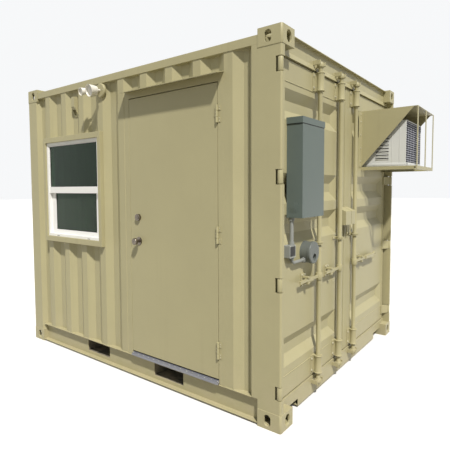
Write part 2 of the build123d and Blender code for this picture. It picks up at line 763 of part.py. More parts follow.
def lamp_box():
    """The round weatherproof canopy that the twin floodlight hangs from."""
    start = (LAMP_CANOPY_X, LEAF_FRONT_Y, LAMP_Z)
    end = (LAMP_CANOPY_X, LAMP_CANOPY_FACE, LAMP_Z)
    canopy = bar(start, end, LAMP_CANOPY_RADIUS)
    rim = canopy.faces().sort_by(Axis.Y)[0].edges()
    return fillet(rim, 9.0)


def lamp_head(x, z, back, reach, mouth_radius, tail_radius):
    """One floodlight: a flaring shell that looks out and a little down, open at its mouth."""
    tail = Vector(x, back, z + 6)
    mouth = Vector(x - 8, reach, z - 8)
    direction = mouth - tail
    plane = Plane(origin=tail, z_dir=direction)
    align = (Align.CENTER, Align.CENTER, Align.MIN)
    shell = plane * Cone(tail_radius, mouth_radius, direction.length, align=align)
    cup_length = direction.length - 11.5
    cup_mouth = mouth_radius - LAMP_SHELL
    cup = plane.offset(12) * Cone(tail_radius - LAMP_SHELL - 1, cup_mouth, cup_length, align=align)
    return shell - cup


def lamp_heads():
    """Both floodlights and the arms that hold them off the canopy."""
    heads = []
    limit = block((-500, 0), (FRONT - LAMP_REACH, FRONT), (LAMP_Z - 150, LAMP_Z + 150))
    for x, z, back, reach, mouth_radius, tail_radius in LAMP_HEADS:
        start = (LAMP_CANOPY_X + (x - LAMP_CANOPY_X) * 0.3, LAMP_CANOPY_FACE, LAMP_Z)
        end = (x, back - 8, z + 5)
        head = lamp_head(x, z, back, reach, mouth_radius, tail_radius) + bar(start, end, 10.0)
        heads.append((head & limit) - lamp_box())
    return heads


VENT_X = (-724.0, -678.0)
VENT_TOP = 2445.0
VENT_BOTTOM = 2262.0
VENT_MOUTH = (2347.0, 2276.0)
VENT_SHEET = 2.5


def vent_box():
    """A narrow air vent in a trough: a hood with a slanting mouth, on a plate against the wall."""
    front = FRONT
    back = FRONT + TROUGH_DEPTH
    high, low = VENT_MOUTH
    hood = [(back, VENT_TOP), (front, VENT_TOP - 8), (front, high), (back - 10, low), (back, low)]
    sheet = VENT_SHEET
    hollow = [
        (back - sheet, VENT_TOP - sheet),
        (front + sheet, VENT_TOP - 8 - sheet),
        (front + sheet, high - 4),
        (back - 9, low - 4),
        (back - sheet, low - 4),
    ]
    vent = lengthwise(hood, *VENT_X) - lengthwise(hollow, VENT_X[0] + sheet, VENT_X[1] - sheet)
    vent += block(VENT_X, (back - sheet, back), (VENT_BOTTOM, VENT_TOP))
    vent += block(VENT_X, (back - 8, back), (VENT_BOTTOM, VENT_BOTTOM + 5))
    room = [
        (VENT_X[0], front),
        (VENT_X[1], front),
        (VENT_X[1], FRONT + wave_depth(VENT_X[1])),
        (-692.0, back),
        (VENT_X[0], back),
    ]
    return vent & upright(room, VENT_BOTTOM, VENT_TOP)


save("lamp_box", lamp_box())
save("lamp_heads", *lamp_heads())
save("vent_box", vent_box())


# ---------------------------------------------------------------- cargo door frame: header and sill
def door_header():
    """A box beam over the cargo doors: its lower lip slopes, a thin gutter runs along its top."""
    back = LEAF_FACE_X - RAIL_TUBE
    face = DOOR_END - 68.0
    lip = DOOR_END - 56.0
    outline = [
        (back, HEADER_BOTTOM),
        (lip, HEADER_BOTTOM),
        (face, HEADER_FOLD),
        (face, HEADER_TOP),
        (back, HEADER_TOP),
    ]
    beam = across(outline, -DOOR_POST_INNER_Y, DOOR_POST_INNER_Y)
    wall = TUBE_WALL
    hollow = [
        (back + wall, HEADER_BOTTOM + wall),
        (lip - wall - 2, HEADER_BOTTOM + wall),
        (face - wall, HEADER_FOLD),
        (face - wall, HEADER_TOP - wall),
        (back + wall, HEADER_TOP - wall),
    ]
    beam -= across(hollow, -DOOR_POST_INNER_Y, DOOR_POST_INNER_Y)
    for side in (-1, 1):
        ys = sorted((side * CASTING_INNER_Y, side * DOOR_POST_INNER_Y))
        beam -= block((back - 1, DOOR_END), ys, (POST_TOP, HEADER_TOP + 1))
    gutter_ys = (-CASTING_INNER_Y, CASTING_INNER_Y)
    gutter = block((back, DOOR_END - 40.0), gutter_ys, (HEADER_TOP, HEADER_TOP + PLATE))
    return beam + gutter


def door_sill():
    """A channel under the cargo doors, cut away below near the castings."""
    face = DOOR_END - 65.0
    back = face - 62.0
    plate = PLATE
    outline = [
        (face, SILL_BOTTOM),
        (face, SILL_TOP),
        (back, SILL_TOP),
        (back, SILL_TOP - plate),
        (face - plate, SILL_TOP - plate),
        (face - plate, SILL_BOTTOM + plate),
        (back, SILL_BOTTOM + plate),
        (back, SILL_BOTTOM),
    ]
    sill = across(outline, -CASTING_INNER_Y, CASTING_INNER_Y)
    for side in (-1, 1):
        ys = sorted((side * 850.0, side * CASTING_INNER_Y))
        sill -= block((back - 1, face + 1), ys, (0, 70))
        ends = sorted((side * CASTING_INNER_Y, side * DOOR_POST_INNER_Y))
        sill += block((back, face), ends, (CASTING_HEIGHT, SILL_TOP))
    return sill


save("door_header", door_header())
save("door_sill", door_sill())


# ---------------------------------------------------------------- cargo door leaves
def leaf_frame():
    """The hollow tube frame of the leaf at +Y, drained by two holes in its bottom edge."""
    xs = (LEAF_BACK_X, LEAF_FACE_X)
    ys = (CARGO_LEAF_INNER, CARGO_LEAF_OUTER)
    zs = (CARGO_LEAF_BOTTOM, CARGO_LEAF_TOP)
    opening = block(xs, (PANEL_INNER, PANEL_OUTER), (PANEL_BOTTOM, PANEL_TOP))
    wall = TUBE_WALL
    inner_xs = (xs[0] + wall, xs[1] - wall)
    cavity = block(inner_xs, (ys[0] + wall, ys[1] - wall), (zs[0] + wall, zs[1] - wall))
    panel_ys = (PANEL_INNER - wall, PANEL_OUTER + wall)
    cavity -= block(inner_xs, panel_ys, (PANEL_BOTTOM - wall, PANEL_TOP + wall))
    frame = block(xs, ys, zs) - opening - cavity
    for y in (ys[0] + 70, ys[1] - 70):
        middle = (xs[0] + xs[1]) / 2
        frame -= bar((middle, y, zs[0] - 1), (middle, y, zs[0] + wall + 1), 6.0)
    return frame


def leaf_panel():
    """The pressed sheet in the leaf at +Y, with four level troughs."""
    ys = (PANEL_INNER, PANEL_OUTER)
    panel = block((LEAF_FACE_X - SHEET, LEAF_FACE_X), ys, (PANEL_BOTTOM, PANEL_TOP))
    width = ys[1] - ys[0] - 24.0
    middle = (ys[0] + ys[1]) / 2
    for top in PANEL_TROUGH_TOPS:
        z = top - PANEL_TROUGH_HEIGHT / 2
        face = Plane((LEAF_FACE_X, middle, z), x_dir=(0, 1, 0), z_dir=(-1, 0, 0))
        size = (width, PANEL_TROUGH_HEIGHT, PANEL_TROUGH_DEPTH, PANEL_TROUGH_SLOPE)
        panel += pressing(face.offset(SHEET), *size)
        panel -= pressing(face, *size)
    return panel


def cargo_hinges():
    """Four barrels and the blades that join them to the leaf at +Y."""
    face = LEAF_FACE_X
    barrel_back = CARGO_HINGE_X - BARREL_RADIUS
    blade = [
        (face, 1092.0),
        (face, CARGO_LEAF_OUTER),
        (barrel_back, 1174.0),
        (barrel_back, CARGO_HINGE_Y),
        (CARGO_HINGE_X, CARGO_HINGE_Y),
        (CARGO_HINGE_X, CARGO_HINGE_Y - BARREL_RADIUS),
        (face + 20, 1146.0),
        (face + 12, 1135.0),
        (face + 12, 1092.0),
    ]
    hinges = []
    for low, high in CARGO_NOTCHES:
        ends = (low + CLEARANCE, high - CLEARANCE)
        bottom = (CARGO_HINGE_X, CARGO_HINGE_Y, ends[0])
        top = (CARGO_HINGE_X, CARGO_HINGE_Y, ends[1])
        hinge = bar(bottom, top, BARREL_RADIUS) + upright(blade, *ends)
        hinges.append(hinge - bar(bottom, top, HINGE_PIN_RADIUS + FIT))
    return hinges


def hinge_pins():
    """The fixed pins on which the four barrels of one leaf turn."""
    pins = []
    for low, high in CARGO_NOTCHES:
        bottom = (CARGO_HINGE_X, CARGO_HINGE_Y, low)
        top = (CARGO_HINGE_X, CARGO_HINGE_Y, high)
        pins.append(bar(bottom, top, HINGE_PIN_RADIUS))
    return pins


save("cargo_hinge_pins", *hinge_pins(), *mirrored_y(*hinge_pins()))


# ---------------------------------------------------------------- lock rods and what holds them
SLEEVE_RADIUS = 28.0
SLEEVE_SPANS = ((180.0, 316.0), (2290.0, 2425.0))
RING_Z = 1172.0
CAM_RADIUS = 27.0
CAM_NOSE = 30.0
CAM_HEIGHTS = (118.0, 2476.0)
KEEPER_HEIGHTS = (118.0, HEADER_FOLD + 15.0)
KEEPER_GAP = 40.0
KEEPER_LUG = 10.0
HANDLE_THICKNESS = 20.0


def rod_guide(y, low, high):
    """A bearing for a lock rod: a plate on the leaf and a sleeve round the rod."""
    plate = block((LEAF_FACE_X, LEAF_FACE_X + PLATE), (y - 56, y + 56), (low, high))
    web = block((LEAF_FACE_X, ROD_X), (y - 20, y + 20), (low, high))
    sleeve = bar((ROD_X, y, low), (ROD_X, y, high), SLEEVE_RADIUS)
    for end in (low, high - 8):
        sleeve += bar((ROD_X, y, end), (ROD_X, y, end + 8), SLEEVE_RADIUS + 4)
    bore = bar((ROD_X, y, low - 1), (ROD_X, y, high + 1), ROD_RADIUS + ROD_FIT)
    return plate + web + sleeve - bore


def rod_ring(y):
    """A narrow bearing halfway up."""
    return rod_guide(y, RING_Z - 10, RING_Z + 10)


def handle_catch(y):
    """Two lugs on the leaf, above and below the handle, which swings out between them."""
    lugs = []
    for side in (-1, 1):
        near = HANDLE_HEIGHT + side * (HANDLE_THICKNESS / 2 + CLEARANCE)
        far = near + side * 12.0
        zs = (min(near, far), max(near, far))
        lugs.append(block((LEAF_FACE_X, ROD_X + 14), (y - 14, y + 14), zs))
    plate_zs = (HANDLE_HEIGHT - 48, HANDLE_HEIGHT + 48)
    plate = block((LEAF_FACE_X, LEAF_FACE_X + PLATE), (y - 32, y + 32), plate_zs)
    return plate + lugs[0] + lugs[1]


def lock_rod(y, reach, side, bulky):
    """A lock rod with a cam at each end and a handle that points to one side."""
    rod = bar((ROD_X, y, ROD_BOTTOM), (ROD_X, y, ROD_TOP), ROD_RADIUS)
    for z in CAM_HEIGHTS:
        rod += bar((ROD_X, y, z - 13), (ROD_X, y, z + 13), CAM_RADIUS)
        rod += block((ROD_X, ROD_X + CAM_NOSE), (y - 9, y + 9), (z - 9, z + 9))
    half = HANDLE_THICKNESS / 2
    z = HANDLE_HEIGHT
    rod += bar((ROD_X, y, z - 26), (ROD_X, y, z + 26), ROD_RADIUS + 8)
    grip = sorted((y, y + side * reach))
    xs = (ROD_X - 7, ROD_X + 7)
    rod += block(xs, grip, (z - half, z + half))
    if bulky:
        thick = sorted((y + side * (reach - 260.0), y + side * (reach - 20.0)))
        rod += block((ROD_X - 14, ROD_X + 14), thick, (z - half - 4, z + half + 4))
        tip = y + side * (reach + 14.0)
        rod += bar((ROD_X - 10, tip, z), (ROD_X + 10, tip, z), 24.0)
        rod -= bar((ROD_X - 12, tip, z), (ROD_X + 12, tip, z), 11.0)
    return rod


def rod_keeper(y, z, face):
    """Two lugs beside a cam; the cam leaves them by moving straight out with the door."""
    xs = (face, ROD_X + 20)
    lugs = []
    for side in (-1, 1):
        ys = sorted((y + side * KEEPER_GAP, y + side * (KEEPER_GAP + KEEPER_LUG)))
        lugs.append(block(xs, ys, (z - 15, z + 15)))
    return lugs


RODS = {
    "left_outer": (-590.0, 310.0, -1, False),
    "left_inner": (-188.0, 276.0, -1, False),
    "right_inner": (157.0, 548.0, 1, True),
}
CATCH_REACH = {"left_outer": 193.0, "left_inner": 182.0, "right_inner": 189.0}


def rod_fittings(names):
    """All that holds the named rods on their leaf."""
    fittings = []
    for name in names:
        y, reach, side, bulky = RODS[name]
        fittings += [rod_guide(y, *span) for span in SLEEVE_SPANS]
        fittings.append(rod_ring(y))
        fittings.append(handle_catch(y + side * CATCH_REACH[name]))
    return fittings


keepers = []
for y, reach, side, bulky in RODS.values():
    keepers += rod_keeper(y, KEEPER_HEIGHTS[0], DOOR_END - 65.0)
    keepers += rod_keeper(y, KEEPER_HEIGHTS[1], DOOR_END - 68.0)
save("rod_keepers", *keepers)
for name, sizes in RODS.items():
    save("lock_rod_" + name, lock_rod(*sizes))
save("left_rod_guides", *rod_fittings(["left_outer", "left_inner"]))
save("right_rod_guides", *rod_fittings(["right_inner"]))


# ---------------------------------------------------------------- lock box between the leaves
LOCK_BOX_BOTTOM = 1272.0
LOCK_BOX_TOP = 1418.0
LOCK_BOX_FALL = 31.0
LOCK_BOX_LEFT = -130.0
LOCK_BOX_RIGHT = 85.0
LOCK_BOX_GAP = 3.5
LOCK_BOX_SHEET = 5.0


def lock_box(ys, open_side):
    """Half of the padlock cover: a steel box with a falling top, open below and at the middle."""
    sheet = LOCK_BOX_SHEET
    front = DOOR_END
    low, high = LOCK_BOX_BOTTOM, LOCK_BOX_TOP
    outside = [(LEAF_FACE_X, low), (front, low), (front, high - LOCK_BOX_FALL), (LEAF_FACE_X, high)]
    inside = [
        (LEAF_FACE_X, low),
        (front - sheet, low),
        (front - sheet, high - LOCK_BOX_FALL - sheet + 1),
        (LEAF_FACE_X, high - sheet - 1),
    ]
    inner_ys = (ys[0] + (0 if open_side < 0 else sheet), ys[1] - (0 if open_side > 0 else sheet))
    return across(outside, *ys) - across(inside, *inner_ys)


save("lock_box_left", lock_box((LOCK_BOX_LEFT, -LOCK_BOX_GAP), 1))
save("lock_box_right", lock_box((LOCK_BOX_GAP, LOCK_BOX_RIGHT), -1))


# ---------------------------------------------------------------- leaf at -Y: frame, panel, electrics
save("left_leaf_frame", *mirrored_y(leaf_frame()))
save("left_leaf_panel", *mirrored_y(leaf_panel()))
save("left_leaf_hinges", *mirrored_y(*cargo_hinges()))

ENCLOSURE_SHEET = 2.0
CAP_LIP = 42.0


def enclosure_box():
    """The steel electrical box on the leaf, closed in front by its cover."""
    xs = (LEAF_FACE_X, DOOR_END - ENCLOSURE_FRONT_DEPTH - 8.0)
    sheet = ENCLOSURE_SHEET
    ys, zs = ENCLOSURE_Y, ENCLOSURE_Z
    inner = block((xs[0] + sheet, xs[1]), (ys[0] + sheet, ys[1] - sheet), (zs[0] + sheet, zs[1] - 8.0))
    return block(xs, ys, (zs[0], zs[1] - 6.0)) - inner


def enclosure_cover():
    """The front cover, with a rain cap that reaches back over the top and sides."""
    front = DOOR_END - ENCLOSURE_FRONT_DEPTH
    back = front - 8.0
    ys, zs = ENCLOSURE_Y, ENCLOSURE_Z
    cover = block((back, front - 3), ys, (zs[0], zs[1] - 6.0))
    cap_ys = (ys[0] - 6.0, ys[1] + 6.0)
    cap = block((LEAF_FACE_X, front), cap_ys, (zs[1] - CAP_LIP, zs[1]))
    cap -= block((LEAF_FACE_X, front - 3), ys, (zs[1] - CAP_LIP, zs[1] - 6.0))
    return cover + cap


INLET_CENTRE = (-753.0, 1124.0)
INLET_RADIUS = 80.0
INLET_FRONT_X = DOOR_END + 10.0
INLET_MOUTH_RADIUS = 27.0


def power_inlet():
    """A round moulded inlet: a flange on the leaf, a drum, and a mouth low in its face."""
    y, z = INLET_CENTRE
    drum = bar((LEAF_FACE_X, y, z), (INLET_FRONT_X - 12, y, z), INLET_RADIUS - 4)
    drum += bar((LEAF_FACE_X, y, z), (LEAF_FACE_X + 8, y, z), INLET_RADIUS)
    cover = bar((INLET_FRONT_X - 24, y, z), (INLET_FRONT_X, y, z), INLET_RADIUS)
    cover = fillet(cover.edges().sort_by(Axis.X)[-1], 9.0)
    mouth_z = z - 34.0
    mouth = bar((INLET_FRONT_X - 48, y, mouth_z), (INLET_FRONT_X + 1, y, mouth_z), INLET_MOUTH_RADIUS)
    return drum + cover - mouth


CONDUIT_Y = -1000.0
CONDUIT_RADIUS = 13.5
CONDUIT_LOOP_Z = 1076.0
CONDUIT_LOOP_BEND = 40.0
JUNCTION_Y = (-1066.0, -980.0)
JUNCTION_Z = (1118.0, 1204.0)


def conduit():
    """The pipe down from the electrical box, a junction box and the loop on to the inlet."""
    x = DOOR_END - 45.0
    y = CONDUIT_Y
    radius = CONDUIT_RADIUS
    pipe = bar((x, y, ENCLOSURE_Z[0]), (x, y, JUNCTION_Z[1]), radius)
    pipe += bar((x, y, ENCLOSURE_Z[0]), (x, y, ENCLOSURE_Z[0] - 22), radius + 6)
    pipe += bar((x, y, JUNCTION_Z[1]), (x, y, JUNCTION_Z[1] + 20), radius + 5)
    body = block((LEAF_FACE_X, x + 22), JUNCTION_Y, JUNCTION_Z)
    body = fillet(body.edges().filter_by(Axis.X), 6.0)
    low = CONDUIT_LOOP_Z
    inlet_y, inlet_z = INLET_CENTRE
    reach = math.sqrt((INLET_RADIUS - 4) ** 2 - (inlet_z - low) ** 2)
    corners = [(x, y, JUNCTION_Z[0] + 4), (x, y, low), (x, inlet_y - reach + 4, low)]
    path = FilletPolyline(*corners, radius=CONDUIT_LOOP_BEND)
    loop = sweep(Plane(origin=path @ 0, z_dir=path % 0) * Circle(radius - 2), path=path)
    loop -= bar((LEAF_FACE_X, inlet_y, inlet_z), (INLET_FRONT_X, inlet_y, inlet_z), INLET_RADIUS - 4)
    return pipe + body + loop


save("enclosure_box", enclosure_box())
save("enclosure_cover", enclosure_cover())
save("power_inlet", power_inlet())
save("conduit", conduit())


# ---------------------------------------------------------------- leaf at +Y: frame, panel, cooling
def right_panel():
    """The other leaf's panel, cut out for the air conditioner."""
    way = block((LEAF_BACK_X, LEAF_FACE_X + 1), (AC_NEAR - 3, AC_FAR + 3), (AC_BOTTOM - 3, AC_TOP + 3))
    return leaf_panel() - way


save("right_leaf_frame", leaf_frame())
save("right_leaf_panel", right_panel())
save("right_leaf_hinges", *cargo_hinges())

HOOD_OUTER_X = DOOR_END + HOOD_REACH
HOOD_FLANGE = 75.0


def hood_side(y, outward):
    """A triangular side sheet with a flange against the leaf; `outward` points off the hood."""
    ys = sorted((y, y - outward * HOOD_SHEET))
    top = HOOD_TOP - HOOD_SHEET
    base = HOOD_BOTTOM + HOOD_BAR
    outline = [(LEAF_FACE_X, base), (LEAF_FACE_X, top), (HOOD_OUTER_X - HOOD_BAR - 2, top)]
    side = across(outline, *ys)
    flange = sorted((y, y + outward * (HOOD_FLANGE if outward < 0 else 14.0)))
    return side + block((LEAF_FACE_X, LEAF_FACE_X + HOOD_SHEET), flange, (base, top))


def hood_frame():
    """The angle-iron frame round the hood's bottom edge, open in the middle."""
    xs = (LEAF_FACE_X, HOOD_OUTER_X)
    ys = (HOOD_NEAR, HOOD_FAR)
    zs = (HOOD_BOTTOM, HOOD_BOTTOM + HOOD_BAR)
    legs = block(xs, ys, zs) - block((xs[0], xs[1] - HOOD_BAR), (ys[0] + HOOD_BAR, ys[1] - HOOD_BAR), zs)
    angle = 3.0
    legs -= block((xs[0], xs[1] - angle), (ys[0] + angle, ys[1] - angle), (zs[0] + angle, zs[1]))
    return legs


def hood_bars():
    """Three upright bars that close the hood's outer face."""
    zs = (HOOD_BOTTOM + HOOD_BAR, HOOD_TOP - HOOD_SHEET)
    middle = (HOOD_NEAR + HOOD_FAR) / 2
    bars = []
    for low in (HOOD_NEAR, middle - HOOD_BAR / 2, HOOD_FAR - HOOD_BAR):
        bars.append(block((HOOD_OUTER_X - 5.0, HOOD_OUTER_X), (low, low + HOOD_BAR), zs))
    return bars


save("hood_top", block((LEAF_FACE_X, HOOD_OUTER_X), (HOOD_NEAR, HOOD_FAR), (HOOD_TOP - HOOD_SHEET, HOOD_TOP)))
save("hood_sides", hood_side(HOOD_NEAR, -1), hood_side(HOOD_FAR, 1))
save("hood_frame", hood_frame())
save("hood_bars", *hood_bars())


def ac_casing():
    """The air conditioner's steel case, open at the back, with slots in its sides and front."""
    xs = (AC_BACK_X - AC_DEPTH, AC_BACK_X)
    ys = (AC_NEAR, AC_FAR)
    zs = (AC_BOTTOM, AC_TOP)
    skin = AC_SKIN
    case = block(xs, ys, zs)
    case -= block((xs[0] + skin, xs[1]), (ys[0] + skin, ys[1] - skin), (zs[0] + skin, zs[1] - skin))
    for row in range(10):
        z = AC_BOTTOM + 60 + row * 30
        case -= block((1545, 1660), (ys[0] - 1, ys[1] + 1), (z, z + 12))
    for row in range(8):
        z = AC_BOTTOM + 70 + row * 34
        case -= block((xs[0] - 1, xs[0] + skin + 1), (ys[0] + 50, ys[1] - 50), (z, z + 14))
    return case


def ac_fins():
    """The condenser block behind the case's open back, and its guard."""
    ys = (AC_NEAR + AC_SKIN, AC_FAR - AC_SKIN)
    zs = (AC_BOTTOM + AC_SKIN, AC_TOP - AC_SKIN)
    return block((AC_BACK_X - 34, AC_BACK_X - 6), ys, zs)


save("ac_casing", ac_casing())
save("ac_fins", ac_fins())
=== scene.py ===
# %% [markdown]
# # A shipping container cabin
# A ten-foot steel container with a house door and a window in its side, cargo doors at its end,
# an electrical box and a hooded air conditioner. The main shapes come from a fixed frame.
# This lesson gives them their finishes and adds the small parts that make them believable.

# %% Load the frame
import json
import math
import random

import bmesh
import bpy
from mathutils import Matrix, Vector


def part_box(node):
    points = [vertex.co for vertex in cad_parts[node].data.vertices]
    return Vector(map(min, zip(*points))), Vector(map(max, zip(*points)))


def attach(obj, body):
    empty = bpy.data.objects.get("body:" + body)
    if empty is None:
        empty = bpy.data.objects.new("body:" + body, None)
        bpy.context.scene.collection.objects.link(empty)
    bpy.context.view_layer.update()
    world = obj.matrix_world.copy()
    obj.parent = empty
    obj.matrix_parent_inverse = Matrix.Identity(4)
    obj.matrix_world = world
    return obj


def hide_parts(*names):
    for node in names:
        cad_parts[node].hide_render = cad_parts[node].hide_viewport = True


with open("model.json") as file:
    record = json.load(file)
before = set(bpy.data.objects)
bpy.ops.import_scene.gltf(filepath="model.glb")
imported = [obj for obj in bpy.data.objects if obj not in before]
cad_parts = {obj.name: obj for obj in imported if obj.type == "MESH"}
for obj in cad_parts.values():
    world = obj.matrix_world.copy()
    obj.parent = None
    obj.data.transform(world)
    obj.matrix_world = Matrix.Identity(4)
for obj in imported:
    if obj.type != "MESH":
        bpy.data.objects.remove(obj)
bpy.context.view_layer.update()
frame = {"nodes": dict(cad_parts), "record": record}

# %% [markdown]
# ## The container's own grid
# A container is easiest to think of in millimetres from the middle of its floor plan. The eight
# corner castings are exactly symmetrical, so the middle of their box is the middle of that grid.

# %% Grid points and colours
casting_low, casting_high = [Vector(corner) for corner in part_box("corner_castings")]
MIDDLE = (casting_low + casting_high) / 2


def at(x, y, z):
    """A point on the container's grid, in millimetres, as a point in the frame."""
    return Vector((MIDDLE.x + x / 1000, MIDDLE.y + y / 1000, z / 1000))


def colour(red, green, blue):
    """A colour written from 0 to 255, turned into the light values that shaders use."""
    parts = []
    for value in (red, green, blue):
        part = value / 255
        parts.append(part / 12.92 if part <= 0.04045 else ((part + 0.055) / 1.055) ** 2.4)
    return (*parts, 1.0)


DOOR_END = (casting_high.x - MIDDLE.x) * 1000
FRONT = (casting_low.y - MIDDLE.y) * 1000
LEAF_FACE_X = DOOR_END - 70
RODS = {"left_outer": -590, "left_inner": -188, "right_inner": 157}
print("door end", round(DOOR_END), "front", round(FRONT))

# %% [markdown]
# ## The camera
# The camera stands off the corner between the front and the cargo doors, at the eye height of a
# person standing there, and looks almost level.

# %% Place the camera
CAMERA_AT = (2779, -3524, 1585)
CAMERA_LENS = 33.6
CAMERA_SHIFT = (0.0118, -0.0262)
CAMERA_PITCH, CAMERA_TURN, CAMERA_ROLL = 86.6, 37.5, -0.29

camera_data = bpy.data.cameras.new("camera")
camera_data.sensor_width = 36
camera_data.lens = CAMERA_LENS
camera_data.shift_x, camera_data.shift_y = CAMERA_SHIFT
camera_data.clip_end = 200
camera = bpy.data.objects.new("camera", camera_data)
camera.location = at(*CAMERA_AT)
camera.rotation_euler = (math.radians(CAMERA_PITCH), 0, math.radians(CAMERA_TURN))
camera.rotation_euler.rotate_axis("Z", math.radians(CAMERA_ROLL))
bpy.context.scene.collection.objects.link(camera)
bpy.context.scene.camera = camera
print("camera at", [round(v, 3) for v in camera.location])

# %% [markdown]
# ## Light and backdrop
# Paint on folded steel shows its shape through gentle changes of shade. One sun lamp, high and
# to the right, gives each fold a light side and a dark side. A pale world fills the rest, and is
# stronger from behind and from the left, so that the sides in shade still show their shape.
# The backdrop is white only to the eye and to mirrors, so it throws no extra light on the paint.

# %% Build the light and the floor
FILL = 0.34
FILL_TINT = (0.93, 0.98, 1.0, 1)
FILL_BEHIND = 0.7
FILL_SIDE = (-0.72, 0.69, 0.05)
BACKDROP = (0.93, 0.94, 0.95, 1)
KEY = 4.9
KEY_SPREAD = 3.0
KEY_TINT = (1.0, 0.96, 0.93)
KEY_TRAVEL = Vector((-1.3, 1.0, -2.1))

key_data = bpy.data.lights.new("key", "SUN")
key_data.energy = KEY
key_data.color = KEY_TINT
key_data.angle = math.radians(KEY_SPREAD)
key = bpy.data.objects.new("key", key_data)
key.rotation_euler = KEY_TRAVEL.to_track_quat("-Z", "Y").to_euler()
bpy.context.scene.collection.objects.link(key)


def add(tree, kind, inputs=None, **settings):
    """A new node, with its settings and the plain values of its inputs."""
    made = tree.nodes.new(kind)
    for name, value in settings.items():
        setattr(made, name, value)
    for name, value in (inputs or {}).items():
        made.inputs[name].default_value = value
    return made


def seen_directly(tree):
    """1 for rays from the eye, a mirror or a pane, and 0 for rays that carry light."""
    path = add(tree, "ShaderNodeLightPath")
    first = add(tree, "ShaderNodeMath", operation="MAXIMUM")
    second = add(tree, "ShaderNodeMath", operation="MAXIMUM")
    tree.links.new(path.outputs["Is Camera Ray"], first.inputs[0])
    tree.links.new(path.outputs["Is Glossy Ray"], first.inputs[1])
    tree.links.new(first.outputs[0], second.inputs[0])
    tree.links.new(path.outputs["Is Transmission Ray"], second.inputs[1])
    return second.outputs[0]


world = bpy.data.worlds.new("studio")
world.use_nodes = True
bpy.context.scene.world = world
tree = world.node_tree
tree.nodes.clear()
place = add(tree, "ShaderNodeTexCoord")
toward = add(tree, "ShaderNodeVectorMath", operation="DOT_PRODUCT")
toward.inputs[1].default_value = FILL_SIDE
gain = add(tree, "ShaderNodeMapRange", {"To Min": FILL, "To Max": FILL + FILL_BEHIND})
fill = add(tree, "ShaderNodeBackground", {"Color": FILL_TINT})
tree.links.new(place.outputs["Generated"], toward.inputs[0])
tree.links.new(toward.outputs["Value"], gain.inputs["Value"])
tree.links.new(gain.outputs[0], fill.inputs["Strength"])
backdrop = add(tree, "ShaderNodeBackground", {"Color": BACKDROP, "Strength": 1.0})
blend = add(tree, "ShaderNodeMixShader")
output = add(tree, "ShaderNodeOutputWorld")
tree.links.new(seen_directly(tree), blend.inputs[0])
tree.links.new(fill.outputs[0], blend.inputs[1])
tree.links.new(backdrop.outputs[0], blend.inputs[2])
tree.links.new(blend.outputs[0], output.inputs[0])

bpy.context.scene.view_settings.view_transform = "Standard"
print("key", KEY, "fill", FILL)

# %% [markdown]
# ## Shared surface effects
# Weather works the same way on every painted part, so each effect is one node group that many
# materials use with their own amounts. A group only puts out colours, masks and heights.

# %% A helper that starts a node group


def start_group(name, inputs, outputs):
    """A shader node group with named sockets, and its input and output nodes."""
    group = bpy.data.node_groups.new(name, "ShaderNodeTree")
    for label, kind, value in inputs:
        socket = group.interface.new_socket(label, in_out="INPUT", socket_type=kind)
        socket.default_value = value
    for label, kind in outputs:
        group.interface.new_socket(label, in_out="OUTPUT", socket_type=kind)
    return group, add(group, "NodeGroupInput"), add(group, "NodeGroupOutput")


FLOAT, TINT = "NodeSocketFloat", "NodeSocketColor"
GREY = (0.5, 0.5, 0.5, 1)

# %% [markdown]
# Paint never dries to one even colour: some patches fade and others stay fresh. One noise, broad
# but with fine detail in it, pushes the colour a little lighter or darker.

# %% Group: uneven tone
group, given, result = start_group(
    "uneven tone",
    [("Colour", TINT, GREY), ("Scale", FLOAT, 1.2), ("Amount", FLOAT, 0.06)],
    [("Colour", TINT), ("Mask", FLOAT)],
)
place = add(group, "ShaderNodeTexCoord")
broad = add(group, "ShaderNodeTexNoise", {"Detail": 5.0, "Roughness": 0.6})
group.links.new(place.outputs["Object"], broad.inputs["Vector"])
group.links.new(given.outputs["Scale"], broad.inputs["Scale"])
shift = add(group, "ShaderNodeMapRange", {"From Min": 0.3, "From Max": 0.7, "To Min": -1.0, "To Max": 1.0})
group.links.new(broad.outputs["Fac"], shift.inputs["Value"])
push = add(group, "ShaderNodeMath", operation="MULTIPLY_ADD")
push.inputs[2].default_value = 1.0
group.links.new(shift.outputs[0], push.inputs[0])
group.links.new(given.outputs["Amount"], push.inputs[1])
scaled = add(group, "ShaderNodeVectorMath", operation="SCALE")
group.links.new(given.outputs["Colour"], scaled.inputs[0])
group.links.new(push.outputs[0], scaled.inputs["Scale"])
group.links.new(scaled.outputs[0], result.inputs["Colour"])
group.links.new(broad.outputs["Fac"], result.inputs["Mask"])
uneven_tone = group

# %% [markdown]
# Rain runs straight down a wall and leaves long thin marks. A noise drawn out in height makes
# them, and a second noise breaks them up so that only some places are marked.

# %% Group: rain marks
group, given, result = start_group("rain marks", [("Amount", FLOAT, 0.3)], [("Mask", FLOAT)])
place = add(group, "ShaderNodeTexCoord")
squeeze = add(group, "ShaderNodeMapping", {"Scale": (26.0, 26.0, 0.7)})
runs = add(group, "ShaderNodeTexNoise", {"Scale": 1.0, "Detail": 3.0, "Roughness": 0.5})
patches = add(group, "ShaderNodeTexNoise", {"Scale": 1.7, "Detail": 2.0})
group.links.new(place.outputs["Object"], squeeze.inputs["Vector"])
group.links.new(squeeze.outputs[0], runs.inputs["Vector"])
group.links.new(place.outputs["Object"], patches.inputs["Vector"])
thin = add(group, "ShaderNodeMapRange", {"From Min": 0.56, "From Max": 0.78})
some = add(group, "ShaderNodeMapRange", {"From Min": 0.42, "From Max": 0.66})
group.links.new(runs.outputs["Fac"], thin.inputs["Value"])
group.links.new(patches.outputs["Fac"], some.inputs["Value"])
